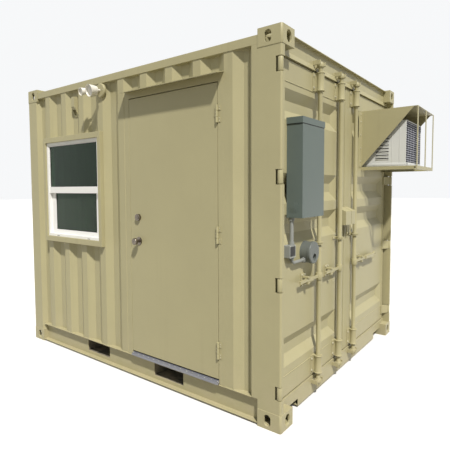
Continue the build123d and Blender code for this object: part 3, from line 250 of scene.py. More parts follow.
both = add(group, "ShaderNodeMath", operation="MULTIPLY")
strength = add(group, "ShaderNodeMath", operation="MULTIPLY", use_clamp=True)
group.links.new(thin.outputs[0], both.inputs[0])
group.links.new(some.outputs[0], both.inputs[1])
group.links.new(both.outputs[0], strength.inputs[0])
group.links.new(given.outputs["Amount"], strength.inputs[1])
group.links.new(strength.outputs[0], result.inputs["Mask"])
rain_marks = group

# %% [markdown]
# Splashes carry pale dirt up from the ground. It is thickest at the foot and gone at about knee
# height, and a noise breaks it into specks.

# %% Group: splashed dirt
group, given, result = start_group(
    "splashed dirt", [("Height", FLOAT, 0.45), ("Amount", FLOAT, 0.4)], [("Mask", FLOAT)]
)
place = add(group, "ShaderNodeTexCoord")
apart = add(group, "ShaderNodeSeparateXYZ")
ragged = add(group, "ShaderNodeTexNoise", {"Scale": 9.0, "Detail": 6.0, "Roughness": 0.7})
group.links.new(place.outputs["Object"], apart.inputs[0])
group.links.new(place.outputs["Object"], ragged.inputs["Vector"])
level = add(group, "ShaderNodeMath", operation="DIVIDE")
group.links.new(apart.outputs["Z"], level.inputs[0])
group.links.new(given.outputs["Height"], level.inputs[1])
rest = add(group, "ShaderNodeMath", operation="SUBTRACT", use_clamp=True)
rest.inputs[0].default_value = 1.0
group.links.new(level.outputs[0], rest.inputs[1])
speckle = add(group, "ShaderNodeMapRange", {"From Min": 0.35, "From Max": 0.65})
group.links.new(ragged.outputs["Fac"], speckle.inputs["Value"])
both = add(group, "ShaderNodeMath", operation="MULTIPLY")
strength = add(group, "ShaderNodeMath", operation="MULTIPLY", use_clamp=True)
group.links.new(rest.outputs[0], both.inputs[0])
group.links.new(speckle.outputs[0], both.inputs[1])
group.links.new(both.outputs[0], strength.inputs[0])
group.links.new(given.outputs["Amount"], strength.inputs[1])
group.links.new(strength.outputs[0], result.inputs["Mask"])
splashed_dirt = group

# %% [markdown]
# Sprayed paint dries with a faint ripple like orange peel, and rolled sheet keeps slow waves from
# the mill. Both are heights that feed a bump.

# %% Group: spray ripple
group, given, result = start_group(
    "spray ripple",
    [("Fine", FLOAT, 260.0), ("Slow", FLOAT, 5.0), ("Slow share", FLOAT, 0.5)],
    [("Height", FLOAT)],
)
place = add(group, "ShaderNodeTexCoord")
fine = add(group, "ShaderNodeTexNoise", {"Detail": 2.0})
slow = add(group, "ShaderNodeTexNoise", {"Detail": 1.0})
for texture, size in ((fine, "Fine"), (slow, "Slow")):
    group.links.new(place.outputs["Object"], texture.inputs["Vector"])
    group.links.new(given.outputs[size], texture.inputs["Scale"])
mixed = add(group, "ShaderNodeMix", data_type="FLOAT")
group.links.new(given.outputs["Slow share"], mixed.inputs["Factor"])
group.links.new(fine.outputs["Fac"], mixed.inputs["A"])
group.links.new(slow.outputs["Fac"], mixed.inputs["B"])
group.links.new(mixed.outputs["Result"], result.inputs["Height"])
spray_ripple = group
print("groups", [g.name for g in bpy.data.node_groups])

# %% [markdown]
# ## Painted metal
# Every painted part is tone, then rain marks, then splashed dirt, under one Principled shader.
# The colour, the gloss and the amount of weather are what make one paint differ from another.

# %% The paint recipe


def place_group(tree, group, values=None):
    """Puts a shared group into a material with this material's own values."""
    return add(tree, "ShaderNodeGroup", values, node_tree=group)


def mix_colours(tree, factor, first, second):
    """Blends towards a plain second colour by a mask."""
    mix = add(tree, "ShaderNodeMix", data_type="RGBA")
    tree.links.new(factor, mix.inputs[0])
    tree.links.new(first, mix.inputs[6])
    mix.inputs[7].default_value = second
    return mix.outputs[2]


def new_material(name):
    """An empty material with a Principled shader, its tree and the shader."""
    material = bpy.data.materials.new(name)
    material.use_nodes = True
    tree = material.node_tree
    shader = tree.nodes["Principled BSDF"]
    return material, tree, shader


DIRT = colour(176, 164, 138)
MARK_SHADE = 0.62
RIPPLE_DEPTH = 0.002


def paint(name, base, rough=0.42, tone=0.05, rain=0.25, dirt=0.35, bump=0.05, metal=0.0, fine=260.0):
    """A painted or bare metal finish with weather on it."""
    material, tree, shader = new_material(name)
    even = place_group(tree, uneven_tone, {"Colour": base, "Scale": 1.6, "Amount": tone})
    marks = place_group(tree, rain_marks, {"Amount": rain})
    splash = place_group(tree, splashed_dirt, {"Amount": dirt})
    ripple = place_group(tree, spray_ripple, {"Fine": fine})
    shade = tuple(value * MARK_SHADE for value in base[:3]) + (1.0,)
    marked = mix_colours(tree, marks.outputs["Mask"], even.outputs["Colour"], shade)
    dusty = mix_colours(tree, splash.outputs["Mask"], marked, DIRT)
    tree.links.new(dusty, shader.inputs["Base Color"])
    gloss = add(tree, "ShaderNodeMapRange", {"To Min": rough - 0.07, "To Max": rough + 0.09})
    tree.links.new(even.outputs["Mask"], gloss.inputs["Value"])
    tree.links.new(gloss.outputs[0], shader.inputs["Roughness"])
    lift = add(tree, "ShaderNodeBump", {"Strength": bump, "Distance": RIPPLE_DEPTH})
    tree.links.new(ripple.outputs["Height"], lift.inputs["Height"])
    tree.links.new(lift.outputs[0], shader.inputs["Normal"])
    shader.inputs["Metallic"].default_value = metal
    if not metal:
        shader.inputs["Specular IOR Level"].default_value = 0.35
    return material


TAN = colour(163, 157, 121)
container_paint = paint("container_paint", TAN, bump=0.10)
door_paint = paint("door_paint", TAN, rough=0.38, tone=0.03, rain=0.12, dirt=0.2)
underside_paint = paint("underside_paint", colour(84, 82, 74), rough=0.75, tone=0.18, dirt=0.9, bump=0.3)
enclosure_paint = paint("enclosure_paint", colour(92, 103, 98), rough=0.40, tone=0.04, rain=0.15)
lamp_white = paint("lamp_white", colour(218, 215, 204), rough=0.35, tone=0.03, rain=0.1)
ac_enamel = paint("ac_enamel", colour(205, 207, 203), rough=0.34, tone=0.03, rain=0.2)
conduit_paint = paint("conduit_paint", colour(132, 135, 130), rough=0.42, tone=0.05)
bolt_zinc = paint("bolt_zinc", colour(196, 192, 170), rough=0.32, tone=0.10, rain=0, dirt=0, metal=0.55)
mill_aluminium = paint(
    "mill_aluminium", colour(142, 144, 152), rough=0.45, tone=0.06, dirt=0.3, metal=0.9, fine=600
)
fin_metal = paint("fin_metal", colour(92, 96, 108), rough=0.5, tone=0.12, rain=0, dirt=0, metal=0.4)
wire_grey = paint("wire_grey", colour(176, 178, 186), rough=0.45, tone=0.08, rain=0.1, dirt=0)
satin_chrome = paint(
    "satin_chrome", colour(124, 116, 106), rough=0.27, tone=0.06, rain=0, dirt=0, bump=0.02, metal=1.0
)
print("paints made")

# %% [markdown]
# ## Plastics, rubber, wood and glass
# Moulded plastic is nearly even with a fine grain. Rubber is dark and dull. Plywood shows long
# grain lines that run with the sheet, and a pane is a plain clear shader with a green tint, which is
# partly the glass and partly painted reflection.

# %% Make the other finishes
STAIN_SHADE = 0.7
GRAIN_DEPTH = 0.001


def plastic(name, base, rough, grain=0.05, tone=0.03):
    """Moulded plastic or rubber: an even tone over a fine grain."""
    material, tree, shader = new_material(name)
    even = place_group(tree, uneven_tone, {"Colour": base, "Scale": 2.5, "Amount": tone})
    ripple = place_group(tree, spray_ripple, {"Fine": 420.0, "Slow share": 0.2})
    marks = place_group(tree, rain_marks, {"Amount": 0.16})
    shade = tuple(value * STAIN_SHADE for value in base[:3]) + (1.0,)
    marked = mix_colours(tree, marks.outputs["Mask"], even.outputs["Colour"], shade)
    tree.links.new(marked, shader.inputs["Base Color"])
    gloss = add(tree, "ShaderNodeMapRange", {"To Min": rough - 0.06, "To Max": rough + 0.06})
    tree.links.new(even.outputs["Mask"], gloss.inputs["Value"])
    tree.links.new(gloss.outputs[0], shader.inputs["Roughness"])
    lift = add(tree, "ShaderNodeBump", {"Strength": grain, "Distance": GRAIN_DEPTH})
    tree.links.new(ripple.outputs["Height"], lift.inputs["Height"])
    tree.links.new(lift.outputs[0], shader.inputs["Normal"])
    return material


white_vinyl = plastic("white_vinyl", colour(226, 226, 222), 0.36)
inlet_plastic = plastic("inlet_plastic", colour(92, 97, 92), 0.44)
# Dark rubber for the glazing and the seals. The same colour is painted shade in the window's drain slots, the
# keyways and the inlet's mouth, and it also colours the junction box's cover.
dark_rubber_and_painted_shade = plastic("dark_rubber_and_painted_shade", colour(42, 42, 41), 0.72, grain=0.15, tone=0.12)
painted_rubber = plastic("painted_rubber", colour(128, 122, 90), 0.66, grain=0.15, tone=0.08)
lamp_lens = plastic("lamp_lens", colour(208, 206, 196), 0.16, grain=0.2)
# A dull dark plastic: the real colour of the control knobs and the floor seams, and painted shade where it
# stands for the dark inside of the air conditioner.
dark_matte_and_painted_shade = plastic("dark_matte_and_painted_shade", colour(58, 58, 52), 0.85, tone=0.15)


def plywood():
    """Varnished sheet with grain along the container."""
    material, tree, shader = new_material("plywood")
    place = add(tree, "ShaderNodeTexCoord")
    stretch = add(tree, "ShaderNodeMapping", {"Scale": (1.4, 22.0, 22.0)})
    look = {"Scale": 3.0, "Detail": 8.0, "Roughness": 0.65, "Distortion": 0.8}
    grain = add(tree, "ShaderNodeTexNoise", look)
    tree.links.new(place.outputs["Object"], stretch.inputs["Vector"])
    tree.links.new(stretch.outputs[0], grain.inputs["Vector"])
    ramp = add(tree, "ShaderNodeValToRGB")
    ramp.color_ramp.elements[0].position = 0.3
    ramp.color_ramp.elements[0].color = colour(112, 74, 44)
    ramp.color_ramp.elements[1].position = 0.72
    ramp.color_ramp.elements[1].color = colour(176, 130, 86)
    tree.links.new(grain.outputs["Fac"], ramp.inputs[0])
    even = place_group(tree, uneven_tone, {"Scale": 1.1, "Amount": 0.10})
    tree.links.new(ramp.outputs[0], even.inputs["Colour"])
    tree.links.new(even.outputs["Colour"], shader.inputs["Base Color"])
    gloss = add(tree, "ShaderNodeMapRange", {"To Min": 0.40, "To Max": 0.60})
    tree.links.new(grain.outputs["Fac"], gloss.inputs["Value"])
    tree.links.new(gloss.outputs[0], shader.inputs["Roughness"])
    lift = add(tree, "ShaderNodeBump", {"Strength": 0.15, "Distance": GRAIN_DEPTH})
    tree.links.new(grain.outputs["Fac"], lift.inputs["Height"])
    tree.links.new(lift.outputs[0], shader.inputs["Normal"])
    return material


def glass():
    """Window glass with a green tint that is partly painted reflection, and dust that dulls it in places."""
    material, tree, shader = new_material("window_glass")
    shader.inputs["Base Color"].default_value = colour(106, 142, 108)
    shader.inputs["Transmission Weight"].default_value = 1.0
    # Painted reflection: the reflections are tinted green, as if they showed green surroundings.
    shader.inputs["Specular Tint"].default_value = colour(132, 164, 134)
    shader.inputs["IOR"].default_value = 1.5
    even = place_group(tree, uneven_tone, {"Scale": 3.0})
    gloss = add(tree, "ShaderNodeMapRange", {"From Min": 0.3, "From Max": 0.8, "To Min": 0.0, "To Max": 0.10})
    tree.links.new(even.outputs["Mask"], gloss.inputs["Value"])
    tree.links.new(gloss.outputs[0], shader.inputs["Roughness"])
    return material


floor_plywood = plywood()
window_glass = glass()
print("materials", len(bpy.data.materials))

# %% [markdown]
# ## Finish the fixed parts
# Real folded steel has no razor edges, so the parts on the list below get a small bevel that
# catches the light, after a weld joins the loose faces each comes in. The others stay as they are.

# %% Give every fixed part its material, and some of them soft edges
FINISHES = {
    "container_paint": container_paint,
    "door_paint": door_paint,
    "underside_steel": underside_paint,
    "floor_plywood": floor_plywood,
    "white_vinyl": white_vinyl,
    "window_glass": window_glass,
    "mill_aluminium": mill_aluminium,
    "satin_chrome": satin_chrome,
    "white_lamp": lamp_white,
    "enclosure_paint": enclosure_paint,
    "conduit_metal": conduit_paint,
    "inlet_plastic": inlet_plastic,
    "ac_enamel": ac_enamel,
    "ac_fin_metal": fin_metal,
}
SOFT_EDGES = {
    "corner_castings": 3.0,
    "enclosure_cover": 1.5,
    "enclosure_box": 1.5,
    "ac_casing": 0.8,
    "window_frame": 1.5,
    "window_sashes": 1.5,
    "window_surround": 2.0,
    "lamp_box": 2.0,
    "lock_box_left": 1.5,
    "lock_box_right": 1.5,
    "left_leaf_frame": 3.0,
    "right_leaf_frame": 3.0,
    "door_leaf": 1.0,
    "door_frame": 1.5,
    "hood_frame": 1.0,
    "hood_bars": 1.0,
    "bottom_side_rails": 1.5,
    "bottom_end_rail": 1.5,
    "top_rails": 2.5,
    "door_header": 2.0,
    "door_sill": 2.0,
    "threshold": 1.0,
    "left_rod_guides": 1.2,
    "right_rod_guides": 1.2,
    "left_leaf_hinges": 1.5,
    "right_leaf_hinges": 1.5,
    "rod_keepers": 1.2,
    "lock_rod_left_outer": 1.0,
    "lock_rod_left_inner": 1.0,
    "lock_rod_right_inner": 1.0,
}


WELD_REACH = 0.00002


def soften(part, width, angle=35):
    """Joins the faces of a part and rounds its edges by a few millimetres."""
    weld = part.modifiers.new("join faces", "WELD")
    weld.merge_threshold = WELD_REACH
    bevel = part.modifiers.new("soft edges", "BEVEL")
    bevel.width = width / 1000
    bevel.segments = 2
    bevel.limit_method = "ANGLE"
    bevel.angle_limit = math.radians(angle)
    bevel.harden_normals = True
    bevel.use_clamp_overlap = True


subparts = frame["record"]["subparts"]
for entry in subparts:
    part = frame["nodes"][entry["node"]]
    part.material_slots[0].material = FINISHES[entry["material_slot"]]
    if entry["node"] in SOFT_EDGES:
        soften(part, SOFT_EDGES[entry["node"]])
print("finished", len(subparts), "parts,", len(SOFT_EDGES), "with soft edges")

# %% [markdown]
# ## Floor of the studio
# A broad pale sheet under the cabin catches its shadow. To the eye it is nearly white, but to the
# light that bounces off it, it is as grey as concrete, so that the undersides stay dark.

# %% Lay the studio floor
FLOOR_REACH = 60
mesh = bpy.data.meshes.new("studio_floor")
turns = ((-1, -1), (1, -1), (1, 1), (-1, 1))
mesh.from_pydata([(x * FLOOR_REACH, y * FLOOR_REACH, 0) for x, y in turns], [], [(0, 1, 2, 3)])
studio_floor = bpy.data.objects.new("studio_floor", mesh)
studio_floor.location.z = -0.001
bpy.context.scene.collection.objects.link(studio_floor)
material, tree, shader = new_material("studio_floor")
even = place_group(tree, uneven_tone, {"Colour": colour(152, 147, 136), "Scale": 0.4, "Amount": 0.01})
shown = mix_colours(tree, seen_directly(tree), even.outputs["Colour"], colour(226, 226, 224))
tree.links.new(shown, shader.inputs["Base Color"])
shader.inputs["Roughness"].default_value = 0.9
mesh.materials.append(material)
print("floor laid")

# %% [markdown]
# ## Making small parts
# Bolts, screws and seals repeat all over the cabin. A few short makers add shapes to one mesh, and
# one mesh is kept for each group that moves together. In one mesh the bars come before any rounded
# block: with a bar after a rounded block, the order of points and faces changed from run to run.

# %% Makers for small shapes


def add_block(shapes, low, high, soft=0.0):
    """A block between two grid corners, with its edges rounded by `soft` millimetres."""
    first, second = at(*low), at(*high)
    middle = (first + second) / 2
    size = second - first
    matrix = Matrix.Translation(middle) @ Matrix.Diagonal((abs(size.x), abs(size.y), abs(size.z), 1))
    made = bmesh.ops.create_cube(shapes, size=1.0, matrix=matrix)
    if soft:
        edges = list(dict.fromkeys(edge for vert in made["verts"] for edge in vert.link_edges))
        bmesh.ops.bevel(shapes, geom=edges, offset=soft / 1000, segments=2, affect="EDGES", profile=0.5)


def facing(start, end):
    """The turn and place that stand a bar from one point to another."""
    direction = end - start
    turn = direction.to_track_quat("Z", "Y").to_matrix().to_4x4()
    return Matrix.Translation((start + end) / 2) @ turn, direction.length


def add_bar(shapes, start, end, radius, tip=None, sides=20):
    """A round bar or cone between two grid points, with radii in millimetres."""
    matrix, length = facing(at(*start), at(*end))
    far = radius if tip is None else tip
    bmesh.ops.create_cone(
        shapes,
        cap_ends=True,
        segments=sides,
        radius1=radius / 1000,
        radius2=far / 1000,
        depth=length,
        matrix=matrix,
    )


def add_bolt(shapes, place, out, across=16.0):
    """A hexagon head on a washer; `out` is the way it faces."""
    point = Vector(place)
    out = Vector(out)
    washer = across * 0.12
    head = across * 0.55
    corner = across * 0.577
    foot = point + out * washer
    shoulder = point + out * (washer + head * 0.8)
    crown = point + out * (washer + head)
    add_bar(shapes, point, foot, across * 0.72, sides=18)
    add_bar(shapes, foot, shoulder, corner, sides=6)
    add_bar(shapes, shoulder, crown, corner, across * 0.46, sides=6)


def add_screw(shapes, place, out, radius=4.0):
    """A low domed screw head."""
    point, out = Vector(place), Vector(out)
    rim = point + out * radius * 0.3
    crown = point + out * radius * 0.55
    add_bar(shapes, point, rim, radius, radius * 0.9, sides=14)
    add_bar(shapes, rim, crown, radius * 0.9, radius * 0.5, sides=14)


def piece(name, shapes, material, body, smooth=30):
    """Turns the gathered shapes into an object that moves with a body."""
    mesh = bpy.data.meshes.new(name)
    bmesh.ops.recalc_face_normals(shapes, faces=shapes.faces)
    shapes.to_mesh(mesh)
    shapes.free()
    mesh.materials.append(material)
    made = bpy.data.objects.new(name, mesh)
    bpy.context.scene.collection.objects.link(made)
    mesh.polygons.foreach_set("use_smooth", [True] * len(mesh.polygons))
    mesh.set_sharp_from_angle(angle=math.radians(smooth))
    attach(made, body)
    print(name, "faces", len(mesh.polygons))
    return made


print("makers ready")

# %% [markdown]
# ## Ironwork on the cargo doors
# Each lock rod turns in sleeves that are bolted to the leaf, and its handle rests in a bolted
# catch. Bolts made as geometry cast their own small shadows, which a bump could not.

# %% Bolt the rod bearings and catches
BRACKET_FACE = LEAF_FACE_X + 6
GUIDE_Z, HANDLE_Z = 1172, 925
SLEEVES = ((180, 316), (2290, 2425))
CATCHES = {"left_outer": -783, "left_inner": -370, "right_inner": 346}
SIDES = {"left_outer": "left", "left_inner": "left", "right_inner": "right"}
OUT_END = (1, 0, 0)
OUT_FRONT = (0, -1, 0)
bolts = {"left": bmesh.new(), "right": bmesh.new()}
for rod, y in RODS.items():
    shapes = bolts[SIDES[rod]]
    for low, high in SLEEVES:
        for z in (low + 24, high - 24):
            for side in (-44, 44):
                add_bolt(shapes, (BRACKET_FACE, y + side, z), OUT_END, 13)
    for side in (-46, 46):
        add_bolt(shapes, (BRACKET_FACE, y + side, GUIDE_Z), OUT_END, 9)
    for z in (HANDLE_Z - 38, HANDLE_Z + 38):
        for side in (-22, 22):
            add_bolt(shapes, (BRACKET_FACE, CATCHES[rod] + side, z), OUT_END, 10)
piece("left_door_bolts", bolts["left"], bolt_zinc, "cargo_door_left")
piece("right_door_bolts", bolts["right"], bolt_zinc, "cargo_door_right")

# %% [markdown]
# Out from under the lock box hangs a hasp for the padlock: a flat strip with a round end.

# %% Hang the hasp
EYE_Y, EYE_Z, EYE_RADIUS = 27, 1196, 13
hasp = bmesh.new()
strip_low = (LEAF_FACE_X + 18, EYE_Y - EYE_RADIUS, EYE_Z)
strip_high = (LEAF_FACE_X + 24, EYE_Y + EYE_RADIUS, 1300)
add_bar(hasp, (LEAF_FACE_X + 17, EYE_Y, EYE_Z), (LEAF_FACE_X + 25, EYE_Y, EYE_Z), EYE_RADIUS, sides=28)
add_block(hasp, strip_low, strip_high, 2.0)
add_block(hasp, (LEAF_FACE_X, 18, 1290), (LEAF_FACE_X + 18, 36, 1310), 1.0)
lock_hasp = piece("lock_hasp", hasp, container_paint, "cargo_door_right")

# %% [markdown]
# A rubber seal runs round each leaf and closes the gap to the frame. It has nearly the colour of
# the paint, as if sprayed over with the doors shut, so it shows only as thin shadow lines.

# %% Fit the rubber seals
LEAF_INNER, LEAF_OUTER = 7, 1150
LEAF_LOW, LEAF_HIGH = 160, 2429


def door_seal(side):
    """The seal round one leaf; side is -1 for the near leaf and 1 for the far one."""
    shapes = bmesh.new()
    xs = (LEAF_FACE_X - 42, LEAF_FACE_X - 10)

    def strip(y_low, y_high, z_low, z_high):
        ys = sorted((side * y_low, side * y_high))
        add_block(shapes, (xs[0], ys[0], z_low), (xs[1], ys[1], z_high), 1.5)

    strip(LEAF_OUTER, LEAF_OUTER + 14, LEAF_LOW + 4, LEAF_HIGH - 2)
    strip(LEAF_INNER - 4, LEAF_INNER, LEAF_LOW + 4, LEAF_HIGH - 2)
    strip(LEAF_INNER + 4, LEAF_OUTER - 4, LEAF_HIGH, LEAF_HIGH + 5)
    strip(LEAF_INNER + 4, LEAF_OUTER - 4, LEAF_LOW - 6, LEAF_LOW)
    return shapes


piece("left_door_seal", door_seal(-1), painted_rubber, "cargo_door_left")
piece("right_door_seal", door_seal(1), painted_rubber, "cargo_door_right")

# %% [markdown]
# ## Weld beads
# The corrugated sheets are welded to the rails and posts all round. A bead is a thin rod with a
# ripple along it, half sunk in the joint, and it follows the folds of the sheet.

# %% Run the beads
WAVE_PITCH, WAVE_START, WAVE_SLOPE, WAVE_INNER = 278, 4, 68, 70
PROUD, DEEP = 10, 46


def wall_depth(x):
    """How far the side sheet lies behind the castings at x."""
    along = (x - WAVE_START) % WAVE_PITCH
    back = WAVE_SLOPE + WAVE_INNER
    if along < WAVE_SLOPE:
        return PROUD + (DEEP - PROUD) * along / WAVE_SLOPE
    if along < back:
        return DEEP
    if along < back + WAVE_SLOPE:
        return DEEP - (DEEP - PROUD) * (along - back) / WAVE_SLOPE
    return PROUD


def add_bead(shapes, points, radius, chance, step=9.0):
    """A rippled bead along grid points, in millimetres, with six sides."""
    rings = []
    for start, end in zip(points, points[1:]):
        start, end = Vector(start), Vector(end)
        count = max(2, round((end - start).length / step))
        along = (end - start).normalized()
        turn = along.to_track_quat("Z", "Y")
        for number in range(count):
            middle = start.lerp(end, number / (count - 1))
            size = radius * (1 + 0.22 * (-1) ** number + chance.uniform(-0.12, 0.12))
            ring = []
            for corner in range(6):
                angle = corner * math.pi / 3
                spot = middle + turn @ Vector((math.cos(angle) * size, math.sin(angle) * size, 0))
                ring.append(shapes.verts.new(at(*spot)))
            rings.append(ring)
    for near, far in zip(rings, rings[1:]):
        for corner in range(6):
            following = (corner + 1) % 6
            shapes.faces.new((near[corner], near[following], far[following], far[corner]))
    shapes.faces.new(rings[0][::-1])
    shapes.faces.new(rings[-1])


def wall_run(start, end, z, side):
    """Points along the foot or head of a side wall."""
    count = max(2, round((end - start) / 17))
    places = [start + (end - start) * number / count for number in range(count + 1)]
    return [(x, side * (-FRONT - wall_depth(x)), z) for x in places]


WALL_FOOT, WALL_HEAD = 183, 2496
WALL_LEFT, WALL_RIGHT = -1290, 1222
DOORWAY_LEFT, DOORWAY_RIGHT = 8, 1050
RAIL_BEAD, POST_BEAD, CASTING_BEAD = 3.2, 2.6, 2.8

chance = random.Random(7)
beads = bmesh.new()
for z in (WALL_FOOT, WALL_HEAD):
    add_bead(beads, wall_run(WALL_LEFT, DOORWAY_LEFT, z, -1), RAIL_BEAD, chance)
    add_bead(beads, wall_run(DOORWAY_RIGHT, WALL_RIGHT, z, -1), RAIL_BEAD, chance)
    add_bead(beads, wall_run(WALL_LEFT, WALL_RIGHT, z, 1), RAIL_BEAD, chance)
for x in (WALL_LEFT - 5, WALL_RIGHT + 3):
    for side in (-1, 1):
        y = side * (-FRONT - wall_depth(x))
        add_bead(beads, [(x, y, WALL_FOOT + 3), (x, y, WALL_HEAD - 3)], POST_BEAD, chance)
for side in (-1, 1):
    for x in (-1, 1):
        for z in (118, 2473):
            low, high = sorted((x * 1322, x * 1488))
            add_bead(beads, [(low, side * 1214, z), (high, side * 1214, z)], CASTING_BEAD, chance)
            near, far = sorted((side * 1062, side * 1212))
            add_bead(beads, [(x * 1490, near, z), (x * 1490, far, z)], CASTING_BEAD, chance)
welds = piece("weld_beads", beads, container_paint, "cabin", smooth=50)

# %% [markdown]
# The pressed sheet of each cargo door leaf is welded into its frame in the same way, and the bead
# draws a thin light line round it.

# %% Weld the sheets of the cargo doors
SHEET_INNER, SHEET_OUTER = 160, 1090
SHEET_FOOT, SHEET_HEAD = 303, 2284
for side, body in ((-1, "cargo_door_left"), (1, "cargo_door_right")):
    beads = bmesh.new()
    x = LEAF_FACE_X + 0.5
    corners = (
        (x, side * SHEET_INNER, SHEET_FOOT),
        (x, side * SHEET_OUTER, SHEET_FOOT),
        (x, side * SHEET_OUTER, SHEET_HEAD),
        (x, side * SHEET_INNER, SHEET_HEAD),
    )
    for start, end in zip(corners, corners[1:] + corners[:1]):
        add_bead(beads, [start, end], 3.4, chance, step=14.0)
    made = piece(body + "_beads", beads, container_paint, body, smooth=50)

# %% [markdown]
# ## The window
# A vinyl window holds its panes with dark glazing rubber, locks at the meeting rail and drains
# through two small slots at the foot of its frame, drawn as dark strips of painted shade.

# %% Dress the window
frame_low, frame_high = [Vector(corner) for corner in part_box("window_frame")]


def to_grid(point):
    """A point in the frame, back on the grid in millimetres."""
    return [(point[0] - MIDDLE.x) * 1000, (point[1] - MIDDLE.y) * 1000, point[2] * 1000]


window_left, window_front, window_foot = to_grid(frame_low)
window_right, _, window_head = to_grid(frame_high)
RAIL_TOP = 1606
BEAD = 3.5
rubber = bmesh.new()
PANES = (
    ((window_left + 35, window_right - 35), (RAIL_TOP, window_head - 35), FRONT + 5),
    ((window_left + 87, window_right - 87), (window_foot + 65, 1545), FRONT + 30),
)
for (left, right), (low, high), y in PANES:
    for x in (left, right - BEAD):
        add_block(rubber, (x, y, low), (x + BEAD, y + 3, high), 0.6)
    for z in (low, high - BEAD):
        add_block(rubber, (left, y, z), (right, y + 3, z + BEAD), 0.6)
# The drain slots are dark strips on the foot of the frame: painted shade for the holes.
for x in (window_left + 150, window_right - 190):
    slot_low = (x, window_front - 0.4, window_foot + 5)
    slot_high = (x + 40, window_front + 2, window_foot + 10)
    add_block(rubber, slot_low, slot_high, 0.5)
piece("window_rubber_and_slot_shade", rubber, dark_rubber_and_painted_shade, "cabin")

catches = bmesh.new()
for x in (window_left + 250, window_right - 290):
    add_block(catches, (x, FRONT + 20, RAIL_TOP - 9), (x + 40, FRONT + 32, RAIL_TOP), 2.0)
    add_block(catches, (x + 12, FRONT + 24, RAIL_TOP), (x + 28, FRONT + 44, RAIL_TOP + 7), 2.5)
lift_low = (window_left + 330, FRONT + 46, window_foot + 42)
lift_high = (window_right - 330, FRONT + 58, window_foot + 52)
add_block(catches, lift_low, lift_high, 3)
window_catches = piece("window_catches", catches, white_vinyl, "cabin")

fixings = bmesh.new()
for x in (-1170, -298):
    for z in (1130, 1360, 1590, 1820, 2030):
        add_screw(fixings, (x, FRONT - 26, z), OUT_FRONT, 4.5)
surround_screws = piece("surround_screws", fixings, container_paint, "cabin")

# %% [markdown]
# ## The house door
# Its hinges are screwed through their wings, each lock has a keyway drawn as a thin dark strip of
# painted shade, and a seal under the leaf hangs just above the threshold.

# %% Dress the house door
LEAF_Y = FRONT + 10
WING_Y = LEAF_Y - 3
HINGE_HEIGHTS = (432, 1258, 2098)
KEYWAY_X = (169, 171.4)
THRESHOLD_EDGE = FRONT - 4
hinge_screws, frame_screws = bmesh.new(), bmesh.new()
for height in HINGE_HEIGHTS:
    for offset in (-12, 12):
        add_screw(hinge_screws, (971, WING_Y, height + offset), OUT_FRONT, 3.6)
    for offset in (-48, -30, 30, 48):
        add_screw(frame_screws, (1004, WING_Y, height + offset), OUT_FRONT, 3.6)
piece("leaf_hinge_screws", hinge_screws, bolt_zinc, "front_door")
piece("frame_hinge_screws", frame_screws, bolt_zinc, "cabin")

# The keyways are thin dark strips: painted shade for the slots.
keyway = bmesh.new()
add_block(keyway, (KEYWAY_X[0], LEAF_Y - 24.6, 1347), (KEYWAY_X[1], LEAF_Y - 23.6, 1357), 0.2)
piece("deadbolt_keyway", keyway, dark_rubber_and_painted_shade, "front_door")
keyway = bmesh.new()
add_block(keyway, (KEYWAY_X[0], LEAF_Y - 63.1, 1152), (KEYWAY_X[1], LEAF_Y - 62.0, 1162), 0.2)
piece("knob_keyway", keyway, dark_rubber_and_painted_shade, "door_knob_body")

seal = bmesh.new()
add_block(seal, (80, LEAF_Y + 8, 216), (977, LEAF_Y + 36, 222), 1.5)
piece("door_sweep", seal, dark_rubber_and_painted_shade, "front_door")

rivets = bmesh.new()
for x in range(80, 1000, 60):
    add_screw(rivets, (x, THRESHOLD_EDGE + 11, 203), (0, -0.5, 0.86), 3.2)
piece("threshold_screws", rivets, bolt_zinc, "cabin")

# %% [markdown]
# A painted strip on each jamb hides most of the gap beside the leaf. It stops at the locks and the
# hinges, so the gap reads dark only there. The threshold has ribs along it against slipping.

# %% Fit the jamb strips and the threshold ribs
strips = bmesh.new()
for low, high in ((224, 1092), (1222, 1300), (1404, 2309)):
    add_block(strips, (68.2, LEAF_Y + 2, low), (70.4, LEAF_Y + 10, high), 0.3)
for low, high in ((224, 362), (502, 1188), (1328, 2028), (2168, 2309)):
    add_block(strips, (986.6, LEAF_Y + 2, low), (989.8, LEAF_Y + 10, high), 0.3)
jamb_strips = piece("jamb_strips", strips, door_paint, "cabin")

ribs = bmesh.new()
for share in (0.15, 0.4, 0.65, 0.9):
    y, z = THRESHOLD_EDGE + 22 * share, 196 + 14 * share
    add_bar(ribs, (70, y, z), (988, y, z), 1.5, sides=8)
for z in (186, 191):
    add_bar(ribs, (70, THRESHOLD_EDGE, z), (988, THRESHOLD_EDGE, z), 1.3, sides=8)
threshold_ribs = piece("threshold_ribs", ribs, mill_aluminium, "cabin")

# %% [markdown]
# ## Lamps
# The twin floodlight hangs from a round canopy. Each shell flares to a pale lens, and three thin
# rings run round its tail.

